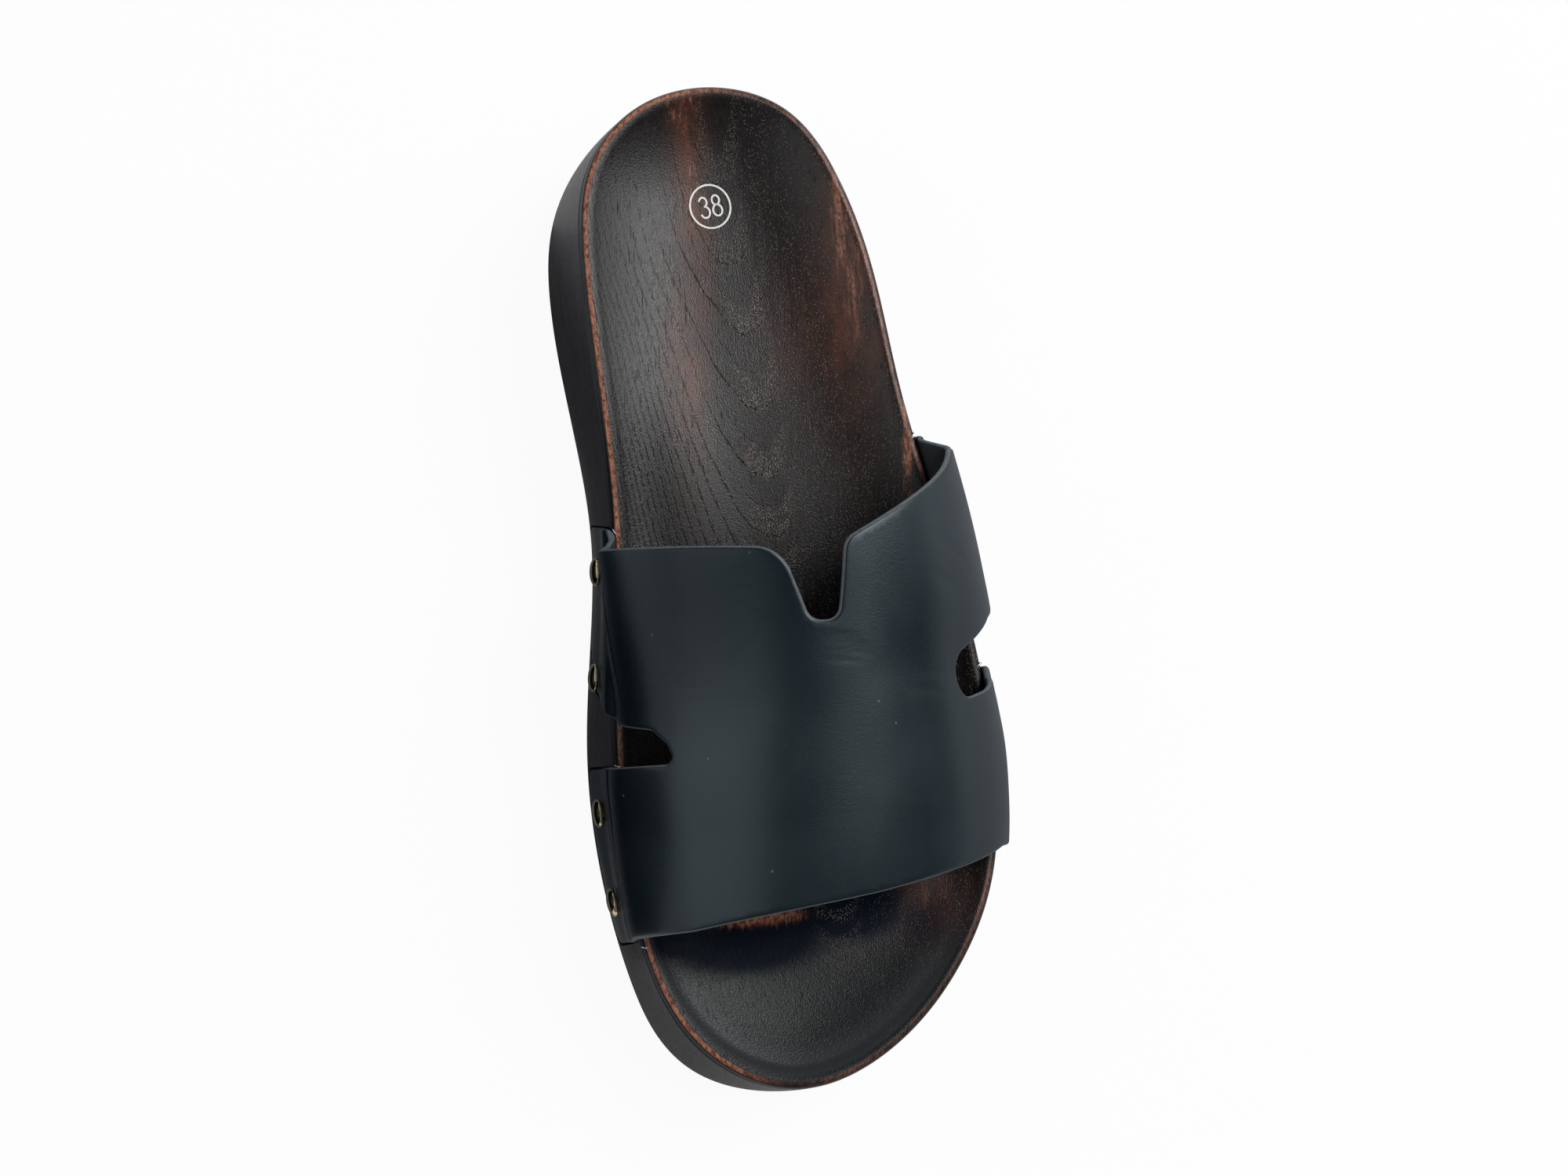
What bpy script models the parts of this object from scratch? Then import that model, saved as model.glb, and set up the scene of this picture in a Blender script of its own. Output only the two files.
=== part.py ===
"""Platform mule, left shoe: a moulded platform sole with one leather band nailed to its side wall.

Frame: +X is the medial (big toe) side, +Y runs from heel to toe, +Z is up. The origin is on the floor
under the middle of the heel seat. Sizes are in millimetres and become metres where a mesh is made.
The column "along" is measured from the back of the rim; "across" from the heel-to-toe line.
"""

import bpy
import numpy as np
from mathutils import Vector, geometry

MM = 0.001
GAP = 0.3  # between two pieces that meet
HEEL_SEAT = 40.0  # along, of the origin
UP = Vector((0.0, 0.0, 1.0))

# --- sole -----------------------------------------------------------------------------------------

# The rim's outline seen from above, and how far the side wall swells out below it.
# across, along, flare
OUTLINE = (
    (0.0, 0.0, 7.0),
    (20.0, 5.0, 7.0),
    (33.0, 19.5, 7.2),
    (36.8, 45.0, 7.0),
    (34.6, 80.0, 5.0),
    (32.7, 112.0, 3.8),
    (33.6, 142.0, 4.8),
    (35.0, 170.0, 5.8),
    (33.4, 204.0, 5.2),
    (28.4, 229.5, 4.6),
    (16.5, 248.7, 6.0),
    (-5.0, 258.8, 2.8),
    (-30.0, 251.3, 3.6),
    (-50.0, 232.3, 3.6),
    (-60.6, 212.0, 4.0),
    (-64.4, 184.0, 4.4),
    (-61.4, 151.0, 4.4),
    (-53.9, 117.0, 4.2),
    (-45.0, 84.0, 5.0),
    (-38.4, 47.0, 6.4),
    (-32.3, 27.0, 6.8),
    (-18.5, 6.0, 7.0),
)

# Heights above the floor. "cup" is how deep the footbed lies below the rim, and "wall" how steeply it
# rises to it: a high number keeps the bed flat until close to the rim.
# along, rim, cup, wall
HEIGHTS = (
    (0.0, 50.0, 7.0, 2.6),
    (40.0, 49.5, 8.0, 2.6),
    (80.0, 46.5, 6.0, 3.0),
    (120.0, 40.5, 4.5, 4.0),
    (160.0, 36.0, 4.0, 5.0),
    (200.0, 34.0, 4.5, 5.0),
    (232.0, 35.5, 4.0, 2.8),
    (259.0, 39.0, 3.6, 2.4),
)

# The side wall from the tread up to the rim.
# height share, flare share, inset
WALL = (
    (0.00, 0.82, 4.0),
    (0.02, 0.88, 1.6),
    (0.07, 0.96, 0.2),
    (0.15, 1.00, 0.0),
    (0.30, 0.94, 0.0),
    (0.50, 0.75, 0.0),
    (0.70, 0.48, 0.0),
    (0.87, 0.21, 0.0),
    (1.00, 0.00, 0.0),
)

# The bead that rounds the rim, inward from the top of the wall.
# inset, rise
BEAD = (
    (0.5, 0.8),
    (1.6, 1.3),
    (3.0, 0.9),
    (4.4, 0.0),
)

# The middle line that the footbed and the tread close on.
# along, across
SPINE = (
    (34.0, 0.0),
    (90.0, -6.0),
    (150.0, -13.0),
    (185.0, -15.0),
    (224.0, -12.0),
)
# Rings of points between the middle line, 0, and the edge, 1.
BED_RINGS = (0.93, 0.82, 0.66, 0.46, 0.24, 0.08)
TREAD_RINGS = (0.08, 0.45, 0.85)
OUTLINE_POINTS = 88
SPLINE_STEPS = 40  # between two rows of the outline
WALL_POINTS = 600  # of the outline where the band is laid on it

ARCH_HEIGHT = 3.5  # of the tread under the waist
ARCH_FROM = 80.0
ARCH_TO = 150.0
TOE_SPRING = 8.0
SPRING_FROM = 200.0
SPRING_TO = 262.0
SPRING_CURVE = 1.8  # power of the rise towards the toe
ARCH_SUPPORT = 4.0  # medial swelling of the footbed
ARCH_SUPPORT_ALONG = 108.0
ARCH_SUPPORT_LENGTH = 26.0
ARCH_SUPPORT_FROM = -8.0  # across
ARCH_SUPPORT_TO = 28.0
TOE_BAR_HEIGHT = 3.2
TOE_BAR_ALONG = 212.0
TOE_BAR_WIDTH = 7.0
TOE_BAR_SLANT = 0.16  # along per across
BED_FADE = 0.62  # share from the rim over which the arch support and the toe bar fade in

# --- upper ----------------------------------------------------------------------------------------

LEATHER = 2.0
CREST = 78.0  # girth from the band's middle line to its widest line, just above the rim
RIM_PIN = 88.0  # girth where the leather meets the rim
LEG_END = 116.0  # girth of the legs' lower edge
LEG_HEIGHT = 8.0  # of that edge above the floor
PIN_DROP = 0.5  # of the rim pin below the rim
PIN_OUT = 0.2  # how far the leather heads outward at the rim pin, against the neck's height
PIN_DOWN = 0.9  # and how far down
SEAT_FADE = 0.45  # height share over which the strap seat fades out towards the rim
SEAT_OPEN = 6.0  # how far the seat's cutter reaches out from the wall

# The band's cross sections. "bulge" is how far its outer face stands out beyond the rim at the crest,
# and "neck" how far the crest lies above the rim.
# along, top, medial bulge, lateral bulge, neck
SECTIONS = (
    (88.0, 97.0, 5.4, 7.4, 5.5),
    (112.0, 93.5, 5.0, 6.5, 5.5),
    (130.0, 90.0, 3.4, 5.4, 5.0),
    (146.0, 86.5, 1.6, 4.4, 3.5),
    (158.0, 84.0, 0.2, 1.8, 2.7),
    (166.0, 82.3, 0.0, 2.0, 2.6),
    (174.0, 80.7, 1.9, 2.5, 2.2),
    (190.0, 77.5, 2.4, 2.5, 2.2),
    (213.0, 73.0, 2.4, 2.7, 2.4),
    (225.0, 70.5, 2.4, 2.7, 2.4),
)
# How far the leather tucks in over the rim on the medial side before it turns down the wall.
# along, tuck
TUCK = (
    (88.0, 1.8),
    (117.0, 1.8),
    (126.0, 1.6),
    (136.0, 0.5),
    (146.0, 0.0),
    (225.0, 0.0),
)
TUCK_PLACE = 0.8  # power that sets it near the rim
TUCK_LIFT = 0.2  # rise over the rim, against the tuck
MEDIAL_LEAN = 1.1  # 1 is an ellipse, and more leans the band inward above its crest
LATERAL_LEAN = 1.45

# The flat band: its corners in order, each rounded by an arc. Girth is positive on the medial side.
# girth, along, radius
PATTERN = (
    (116.0, 107.8, 4.0),
    (88.5, 114.0, 4.0),
    (83.5, 116.9, 3.0),
    (77.6, 120.2, 3.0),
    (9.6, 127.9, 9.0),
    (4.9, 145.4, 3.6),
    (-1.6, 145.4, 3.4),
    (-6.0, 126.8, 6.0),
    (-62.0, 100.4, 30.0),
    (-77.0, 98.7, 10.0),
    (-88.0, 94.2, 20.0),
    (-116.0, 88.0, 4.0),
    (-116.0, 119.0, 6.0),
    (-106.0, 132.5, 10.0),
    (-80.0, 139.8, 8.0),
    (-60.0, 144.0, 12.0),
    (-36.7, 154.4, 7.0),
    (-36.9, 165.2, 5.0),
    (-54.0, 162.4, 14.0),
    (-78.0, 157.8, 20.0),
    (-89.0, 154.8, 8.0),
    (-116.0, 153.0, 3.0),
    (-116.0, 201.0, 4.0),
    (-60.0, 201.8, 40.0),
    (-10.0, 210.3, 80.0),
    (40.0, 216.9, 60.0),
    (116.0, 220.6, 4.0),
    (116.0, 173.9, 3.0),
    (60.0, 175.9, 20.0),
    (42.6, 176.3, 1.8),
    (41.0, 174.8, 1.2),
    (43.6, 171.6, 3.0),
    (50.6, 167.8, 8.0),
    (70.0, 165.4, 14.0),
    (88.0, 161.4, 8.0),
    (106.0, 154.0, 10.0),
    (116.0, 140.5, 6.0),
)
EDGE_STEP = 3.2  # between points of the band's outline
EDGE_CLEAR = 2.6  # from the outline to the nearest point of the grid inside it
ARCH_STEP = 7.5
ARCH_ROWS = 9  # on each side of the middle line
ALONG_STEP = 7.0
# Girths of the finer rows of points where the leather turns in to the rim and down the wall.
TURN_ROWS = (78.0, 81.0, 84.0, 87.0, 90.0, 96.0, 103.0, 110.0)

# --- studs ----------------------------------------------------------------------------------------

STUD_GIRTH = 102.0
STUD_LIFT = 0.5  # of the flat underside of a head above the curved leather
STUD_HEAD_RADIUS = 3.75
STUD_HEAD_HEIGHT = 2.2
STUD_EDGE = 0.2  # how far the head's underside is smaller than its widest ring
STUD_FLAT = 0.25  # radius of the dome's last ring
STUD_SHANK_RADIUS = 1.0
STUD_SHANK_LENGTH = 13.0
STUD_TIP_RADIUS = 0.4
STUD_TIP_LENGTH = 2.0
STUD_SIDES = 16
STUD_DOME_TURNS = (8.0, 26.0, 46.0, 68.0)  # degrees up the dome
MEDIAL_STUDS = (123.0, 151.0, 186.0, 209.0)
LATERAL_STUDS = (102.0, 128.5, 165.0, 190.0)

# --- shapes worked out from the tables --------------------------------------------------------------


def read(rows, along, column):
    """One column of a table at each place in along, on smooth curves through its rows."""
    rows = np.array(rows)
    at, values = rows[:, 0], rows[:, column]
    slopes = np.gradient(values, at)
    along = np.clip(along, at[0], at[-1])
    k = np.clip(np.searchsorted(at, along) - 1, 0, len(at) - 2)
    step = at[k + 1] - at[k]
    t = (along - at[k]) / step
    rise = (2 * t**3 - 3 * t**2 + 1) * values[k] + (3 * t**2 - 2 * t**3) * values[k + 1]
    bend = (t**3 - 2 * t**2 + t) * slopes[k] + (t**3 - t**2) * slopes[k + 1]
    return rise + bend * step


def ease(t):
    """0 to 1 with a level start and end."""
    t = np.clip(t, 0.0, 1.0)
    return t * t * (3 - 2 * t)


def closed_outline(rows, count):
    """Points evenly spaced along the periodic cubic spline through the rows."""
    rows = np.array(rows)
    ahead = np.roll(rows, -1, axis=0)
    chord = np.linalg.norm((ahead - rows)[:, :2], axis=1)
    before = np.roll(chord, 1)
    slope = (ahead - rows) / chord[:, None]
    n = len(rows)
    system = np.diag(2 * (before + chord))
    for i in range(n):
        system[i, (i + 1) % n] += chord[i]
        system[i, i - 1] += before[i]
    bend = np.linalg.solve(system, 6 * (slope - np.roll(slope, 1, axis=0)))
    pieces = []
    for i in range(n):
        j = (i + 1) % n
        done = np.linspace(0, chord[i], SPLINE_STEPS, endpoint=False)[:, None]
        left = chord[i] - done
        cubic = (bend[i] * left**3 + bend[j] * done**3) / (6 * chord[i])
        start = (rows[i] / chord[i] - bend[i] * chord[i] / 6) * left
        end = (rows[j] / chord[i] - bend[j] * chord[i] / 6) * done
        pieces.append(cubic + start + end)
    fine = np.concatenate(pieces)
    loop = np.vstack([fine, fine[:1]])
    length = np.concatenate([[0], np.cumsum(np.linalg.norm(np.diff(loop[:, :2], axis=0), axis=1))])
    even = np.linspace(0, length[-1], count, endpoint=False)
    return np.column_stack([np.interp(even, length, column) for column in loop.T])


def outward(points):
    """Unit normals of a closed outline that runs anticlockwise."""
    tangent = np.roll(points, -1, axis=0) - np.roll(points, 1, axis=0)
    normal = np.column_stack([tangent[:, 1], -tangent[:, 0]])
    return normal / np.linalg.norm(normal, axis=1, keepdims=True)


def tread_height(along):
    """The sole's underside: level under heel and ball, raised under the waist and sprung at the toe."""
    waist = np.sin(np.pi * np.clip((along - ARCH_FROM) / (ARCH_TO - ARCH_FROM), 0, 1)) ** 2
    spring = np.maximum((along - SPRING_FROM) / (SPRING_TO - SPRING_FROM), 0) ** SPRING_CURVE
    return ARCH_HEIGHT * waist + TOE_SPRING * spring


def bed_height(across, along, share):
    """The footbed. Share is 1 where it leaves the rim bead and 0 on the spine."""
    cup = read(HEIGHTS, along, 2) * (1 - share ** read(HEIGHTS, along, 3))
    inside = ease((1 - share) / BED_FADE)
    arch = ARCH_SUPPORT * np.exp(-(((along - ARCH_SUPPORT_ALONG) / ARCH_SUPPORT_LENGTH) ** 2))
    arch *= ease((across - ARCH_SUPPORT_FROM) / (ARCH_SUPPORT_TO - ARCH_SUPPORT_FROM))
    bar_line = TOE_BAR_ALONG + TOE_BAR_SLANT * across
    bar = TOE_BAR_HEIGHT * np.exp(-(((along - bar_line) / TOE_BAR_WIDTH) ** 2))
    return read(HEIGHTS, along, 1) - cup + inside * (arch + bar)


# --- meshes ---------------------------------------------------------------------------------------


def material(name, colour, roughness, metallic=0.0):
    made = bpy.data.materials.new(name)
    made.use_nodes = True
    shader = made.node_tree.nodes["Principled BSDF"]
    shader.inputs["Base Color"].default_value = (*colour, 1.0)
    shader.inputs["Roughness"].default_value = roughness
    shader.inputs["Metallic"].default_value = metallic
    return made


def new_mesh(name, points, faces, look=None, sharp_over=40.0):
    """A smooth-shaded mesh from points in millimetres."""
    mesh = bpy.data.meshes.new(name)
    mesh.from_pydata((np.asarray(points) * MM).tolist(), [], faces)
    mesh.shade_smooth()
    mesh.set_sharp_from_angle(angle=np.radians(sharp_over))
    if look:
        mesh.materials.append(look)
    return mesh


def add_object(name, mesh, place=(0.0, HEEL_SEAT, 0.0), direction=UP):
    """An object with its mesh at a place, measured like the tables, and its +Z along the direction."""
    made = bpy.data.objects.new(name, mesh)
    made.location = (place[0] * MM, (place[1] - HEEL_SEAT) * MM, place[2] * MM)
    made.rotation_euler = UP.rotation_difference(Vector(direction)).to_euler()
    bpy.context.scene.collection.objects.link(made)
    return made


def from_heel(points):
    """Points measured along from the back of the rim, as measured from the heel seat."""
    return np.asarray(points) - (0.0, HEEL_SEAT, 0.0)


def cut(body, cutter):
    """Cuts a closed shape out of the body and keeps it as a hidden guide."""
    cutter.hide_render = True
    cutter.display_type = "WIRE"
    made = body.modifiers.new(cutter.name, "BOOLEAN")
    made.operation = "DIFFERENCE"
    made.object = cutter
    made.solver = "EXACT"


def ring_faces(count, rings):
    """Quads between each ring of points and the one after it."""
    faces = []
    for r in range(rings - 1):
        for i in range(count):
            j = (i + 1) % count
            faces.append((r * count + i, r * count + j, (r + 1) * count + j, (r + 1) * count + i))
    return faces


def strip_faces(first, count, up):
    """Closes a long thin ring across its width. Its points start at the heel and pair off side to side."""
    faces = [(first, first + 1, first + count - 1)]
    half = count // 2
    for i in range(1, half - 1):
        faces.append((first + i, first + i + 1, first + count - i - 1, first + count - i))
    faces.append((first + half - 1, first + half, first + half + 1))
    return faces if up else [face[::-1] for face in faces]


# --- sole -----------------------------------------------------------------------------------------


def to_spine(points, share):
    """Points moved towards the middle line, with share 1 leaving them where they are."""
    ends = SPINE[0][0], SPINE[-1][0]
    along = np.clip(points[:, 1], *ends)
    centre = np.column_stack([read(SPINE, along, 1), along])
    return centre + (points - centre) * share


def make_sole(look):
    outline = closed_outline(OUTLINE, OUTLINE_POINTS)
    rim, flare = outline[:, :2], outline[:, 2:]
    normal = outward(rim)
    crest = read(HEIGHTS, rim[:, 1], 1)
    tread_edge = rim + normal * (flare * WALL[0][1] - WALL[0][2])
    rings = []
    for share in TREAD_RINGS:
        flat = to_spine(tread_edge, share)
        rings.append(np.column_stack([flat, tread_height(flat[:, 1])]))
    for share, swell, inset in WALL:
        flat = rim + normal * (flare * swell - inset)
        low = tread_height(flat[:, 1])
        rings.append(np.column_stack([flat, low + (crest - low) * share]))
    for inset, rise in BEAD:
        rings.append(np.column_stack([rim - normal * inset, crest + rise]))
    bed_edge = rim - normal * BEAD[-1][0]
    for share in BED_RINGS:
        flat = to_spine(bed_edge, share)
        rings.append(np.column_stack([flat, bed_height(flat[:, 0], flat[:, 1], share)]))
    faces = strip_faces(0, OUTLINE_POINTS, up=False)
    faces += ring_faces(OUTLINE_POINTS, len(rings))
    faces += strip_faces((len(rings) - 1) * OUTLINE_POINTS, OUTLINE_POINTS, up=True)
    return add_object("sole", new_mesh("sole", from_heel(np.concatenate(rings)), faces, look))


# --- upper ----------------------------------------------------------------------------------------


class Wall:
    """The sole's side wall as across places, for the band to lie on. Side is 1 medial, -1 lateral."""

    def __init__(self):
        outline = closed_outline(OUTLINE, WALL_POINTS)
        toe = int(np.argmax(outline[:, 1]))
        self.edges = {1: outline[: toe + 1], -1: outline[toe:][::-1]}

    def edge(self, side, along, column):
        rows = self.edges[side]
        return np.interp(along, rows[:, 1], rows[:, column])

    def across(self, side, along, share, stand_off):
        """The wall's place at a height share, moved out by stand_off square to the outline."""
        rim = self.edge(side, along, 0)
        slope = (self.edge(side, along + 1, 0) - self.edge(side, along - 1, 0)) / 2
        swell = read(WALL, share, 1) * self.edge(side, along, 2)
        return rim + side * (swell + stand_off) * np.sqrt(1 + slope**2)


def band_surface(wall, girth, along):
    """Points of the band's inner face. Girth and along are its place on the flat band."""
    rim = read(HEIGHTS, along, 1)
    neck = rim + read(SECTIONS, along, 4)
    crest = {}
    for side, column in ((1, 2), (-1, 3)):
        bulge = read(SECTIONS, along, column) - LEATHER
        crest[side] = wall.across(side, along, 1.0, bulge)
    # The arch over the foot is half an ellipse from crest to crest.
    turn = np.pi / 2 * (1 - np.clip(girth / CREST, -1, 1))
    middle = (crest[1] + crest[-1]) / 2
    across = middle + (crest[1] - crest[-1]) / 2 * np.cos(turn)
    lean = (MEDIAL_LEAN + LATERAL_LEAN) / 2 + (MEDIAL_LEAN - LATERAL_LEAN) / 2 * np.cos(turn)
    rise = np.clip(np.sin(turn), 0, 1) ** lean
    height = neck + (read(SECTIONS, along, 1) - LEATHER - neck) * rise
    for side in (1, -1):
        down = side * girth
        # Below the rim pin it lies on the wall, let in by its own thickness.
        low = tread_height(along)
        pin_height = rim - PIN_DROP
        fall = np.maximum((down - RIM_PIN) / (LEG_END - RIM_PIN), 0)
        z = pin_height + (LEG_HEIGHT - pin_height) * fall
        share = (z - low) / (rim - low)
        let_in = GAP - (LEATHER + GAP) * ease((1 - share) / SEAT_FADE)
        x = wall.across(side, along, share, let_in)
        # Between crest and pin it swings in on an S curve that leaves the crest straight down.
        t = np.clip((down - CREST) / (RIM_PIN - CREST), 0, 1)
        step = ease(t)
        reach = neck - pin_height
        at_crest = reach * (t**3 - 2 * t**2 + t)
        at_pin = reach * (t**3 - t**2)
        neck_x = crest[side] + (x - crest[side]) * step + side * PIN_OUT * at_pin
        neck_z = neck - reach * step - at_crest - PIN_DOWN * at_pin
        if side == 1:
            tuck = read(TUCK, along, 1) * np.sin(np.pi * t**TUCK_PLACE)
            neck_x = neck_x - tuck
            neck_z = neck_z + TUCK_LIFT * tuck
        in_neck = (down > CREST) & (down <= RIM_PIN)
        on_wall = down > RIM_PIN
        across = np.where(in_neck, neck_x, np.where(on_wall, x, across))
        height = np.where(in_neck, neck_z, np.where(on_wall, z, height))
    return np.stack([across, along + 0 * across, height], axis=-1)


def band_normal(wall, girth, along):
    """Outward unit normals of the band."""
    step = 0.25
    over = band_surface(wall, girth + step, along) - band_surface(wall, girth - step, along)
    forward = band_surface(wall, girth, along + step) - band_surface(wall, girth, along - step)
    normal = np.cross(over, forward)
    return normal / np.linalg.norm(normal, axis=-1, keepdims=True)


def rounded(corners, grow=0.0):
    """The closed outline of the flat band, sampled. Grow moves it out all round."""
    corners = np.array(corners)
    flat, radii = corners[:, :2], corners[:, 2]
    points = []
    for i, here in enumerate(flat):
        back = flat[i - 1] - here
        on = flat[(i + 1) % len(flat)] - here
        back_length, on_length = np.linalg.norm(back), np.linalg.norm(on)
        back, on = back / back_length, on / on_length
        half = np.arccos(np.clip(back @ on, -1, 1)) / 2
        reach = min(radii[i] / np.tan(half), 0.48 * back_length, 0.48 * on_length)
        radius = reach * np.tan(half)
        middle = back + on
        centre = here + middle / np.linalg.norm(middle) * radius / np.sin(half)
        start, end = here + back * reach - centre, here + on * reach - centre
        angle = np.arctan2(start[0] * end[1] - start[1] * end[0], start @ end)
        steps = max(2, int(np.ceil(abs(angle) * radius / EDGE_STEP)) + 1)
        for turn in np.linspace(0, angle, steps):
            cos, sin = np.cos(turn), np.sin(turn)
            points.append(centre + (start[0] * cos - start[1] * sin, start[0] * sin + start[1] * cos))
    points = np.array(points)
    filled = []
    for i, here in enumerate(points):
        run = points[(i + 1) % len(points)] - here
        count = max(1, int(round(np.linalg.norm(run) / EDGE_STEP)))
        filled += [here + run * k / count for k in range(count)]
    filled = np.array(filled)
    return filled - outward(filled) * grow  # the pattern's corners run clockwise


def grid_inside(outline):
    """Points of a grid within the outline that keep clear of it, closer together at the turns."""
    arch = np.arange(-ARCH_ROWS, ARCH_ROWS + 1) * ARCH_STEP
    turns = np.array(TURN_ROWS)
    girths = np.concatenate([-turns[::-1], arch, turns])
    alongs = np.arange(outline[:, 1].min(), outline[:, 1].max(), ALONG_STEP)
    grid = np.array([(g, a) for g in girths for a in alongs])
    start, end = outline, np.roll(outline, -1, axis=0)
    crossings = np.zeros(len(grid), int)
    nearest = np.full(len(grid), np.inf)
    for a, b in zip(start, end):
        spans = (a[1] > grid[:, 1]) != (b[1] > grid[:, 1])
        if a[1] != b[1]:
            meets = a[0] + (grid[:, 1] - a[1]) * (b[0] - a[0]) / (b[1] - a[1])
            crossings += spans & (grid[:, 0] < meets)
        nearest = np.minimum(nearest, np.linalg.norm(grid - (a + b) / 2, axis=1))
    return grid[(crossings % 2 == 1) & (nearest > EDGE_CLEAR)]


def band_shell(wall, outline, inner, outer):
    """Points and faces of the band between two offsets from its inner face."""
    flat = np.vstack([outline, grid_inside(outline)])
    n = len(outline)
    edges = [(i, (i + 1) % n) for i in range(n)]
    found = geometry.delaunay_2d_cdt([Vector(p) for p in flat], edges, [], 1, 1e-5)
    flat = np.array([tuple(p) for p in found[0]])
    place = band_surface(wall, flat[:, 0], flat[:, 1])
    normal = band_normal(wall, flat[:, 0], flat[:, 1])
    points = from_heel(np.vstack([place + normal * inner, place + normal * outer]))
    count = len(flat)
    faces = []
    borders = set()
    for a, b, c in found[2]:
        pa, pb, pc = flat[a], flat[b], flat[c]
        if (pb[0] - pa[0]) * (pc[1] - pa[1]) - (pb[1] - pa[1]) * (pc[0] - pa[0]) < 0:
            b, c = c, b
        faces.append((a + count, b + count, c + count))
        faces.append((c, b, a))
        for edge in ((a, b), (b, c), (c, a)):
            if edge[::-1] in borders:
                borders.remove(edge[::-1])
            else:
                borders.add(edge)
    faces += [(a, b, b + count, a + count) for a, b in sorted(borders)]
    return points, faces


def make_upper(wall, look):
    shell = band_shell(wall, rounded(PATTERN), 0.0, LEATHER)
    return add_object("upper", new_mesh("upper", *shell, look, sharp_over=50.0))


def cut_strap_seats(wall, sole):
    """Lets the band's legs into the side wall, with a gap all round."""
    shell = band_shell(wall, rounded(PATTERN, GAP), -GAP, SEAT_OPEN)
    cut(sole, add_object("strap_seats", new_mesh("strap_seats", *shell)))


# --- studs ----------------------------------------------------------------------------------------


def turned(profile, sides):
    """A round solid from (radius, height) rows, bottom to top, closed by a point at each end."""
    points = [(0.0, 0.0, profile[0][1])]
    for radius, height in profile:
        for i in range(sides):
            angle = 2 * np.pi * i / sides
            points.append((radius * np.cos(angle), radius * np.sin(angle), height))
    points.append((0.0, 0.0, profile[-1][1]))
    faces = [(0, 1 + (i + 1) % sides, 1 + i) for i in range(sides)]
    faces += [tuple(k + 1 for k in face) for face in ring_faces(sides, len(profile))]
    last = 1 + (len(profile) - 1) * sides
    faces += [(last + i, last + (i + 1) % sides, len(points) - 1) for i in range(sides)]
    return np.array(points), faces


def stud_profile():
    """Shank, flat underside and a domed head. Height 0 is the underside of the head."""
    rows = [
        (STUD_TIP_RADIUS, -STUD_SHANK_LENGTH),
        (STUD_SHANK_RADIUS, STUD_TIP_LENGTH - STUD_SHANK_LENGTH),
        (STUD_SHANK_RADIUS, 0.0),
        (STUD_HEAD_RADIUS - STUD_EDGE, 0.0),
    ]
    for turn in np.radians(STUD_DOME_TURNS):
        rows.append((STUD_HEAD_RADIUS * np.cos(turn), STUD_HEAD_HEIGHT * np.sin(turn)))
    rows.append((STUD_FLAT, STUD_HEAD_HEIGHT))
    return rows


def make_studs(wall, sole, upper, look):
    """Eight nails, two through each leg of the band, each in its own hole and socket."""
    stud = new_mesh("stud", *turned(stud_profile(), STUD_SIDES), look)
    bore = STUD_SHANK_RADIUS + GAP
    bore_rows = ((bore, -STUD_SHANK_LENGTH - GAP), (bore, STUD_HEAD_HEIGHT))
    bore = new_mesh("stud_bore", *turned(bore_rows, STUD_SIDES))
    for side, name, places in ((1, "medial", MEDIAL_STUDS), (-1, "lateral", LATERAL_STUDS)):
        for number, along in enumerate(places, 1):
            spot = np.array([side * STUD_GIRTH]), np.array([along])
            normal = band_normal(wall, *spot)[0]
            place = band_surface(wall, *spot)[0] + normal * (LEATHER + STUD_LIFT)
            add_object(f"stud_{name}_{number}", stud, place, normal)
            cutter = add_object(f"bore_{name}_{number}", bore, place, normal)
            cut(upper, cutter)
            cut(sole, cutter)


# --- assembly -------------------------------------------------------------------------------------

for old in list(bpy.data.objects):
    bpy.data.objects.remove(old)

side_wall = Wall()
sole_object = make_sole(material("moulded_sole", (0.035, 0.026, 0.022), 0.55))
upper_object = make_upper(side_wall, material("leather", (0.02, 0.021, 0.023), 0.45))
cut_strap_seats(side_wall, sole_object)
make_studs(side_wall, sole_object, upper_object, material("gold_stud", (0.85, 0.66, 0.34), 0.25, 1.0))
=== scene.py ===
import bpy
import numpy as np
from mathutils import Matrix, Vector, geometry
from mathutils.bvhtree import BVHTree


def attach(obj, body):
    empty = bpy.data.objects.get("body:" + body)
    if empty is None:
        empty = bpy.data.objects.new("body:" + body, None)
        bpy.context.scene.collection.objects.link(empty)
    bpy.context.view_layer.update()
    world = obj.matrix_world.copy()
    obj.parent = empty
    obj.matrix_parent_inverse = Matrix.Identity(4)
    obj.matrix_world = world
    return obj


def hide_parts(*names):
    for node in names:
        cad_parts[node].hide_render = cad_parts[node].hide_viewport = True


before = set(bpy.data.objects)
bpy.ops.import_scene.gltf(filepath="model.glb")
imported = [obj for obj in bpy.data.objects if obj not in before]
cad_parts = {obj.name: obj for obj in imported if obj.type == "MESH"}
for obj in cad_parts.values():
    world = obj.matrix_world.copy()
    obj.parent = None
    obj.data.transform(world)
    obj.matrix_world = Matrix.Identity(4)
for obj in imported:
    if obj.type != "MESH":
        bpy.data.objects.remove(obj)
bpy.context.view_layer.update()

# --- camera -----------------------------------------------
# A long lens half a metre above the forefoot, a little to the medial side of it. The heel is at the
# top of the view, so the lateral side is on the right.

EYE = Vector((0.0658, 0.1570, 0.5500))
LOOK_AT = Vector((-0.0109, 0.0918, 0.0400))
VIEW_TOP = Vector((-0.0517, -0.9896, 0.1343))
LENS_MM = 46.0
SENSOR_MM = 36.0
NEAREST = 0.01
FARTHEST = 20.0


def add_object(name, data):
    made = bpy.data.objects.new(name, data)
    bpy.context.scene.collection.objects.link(made)
    return made


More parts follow.
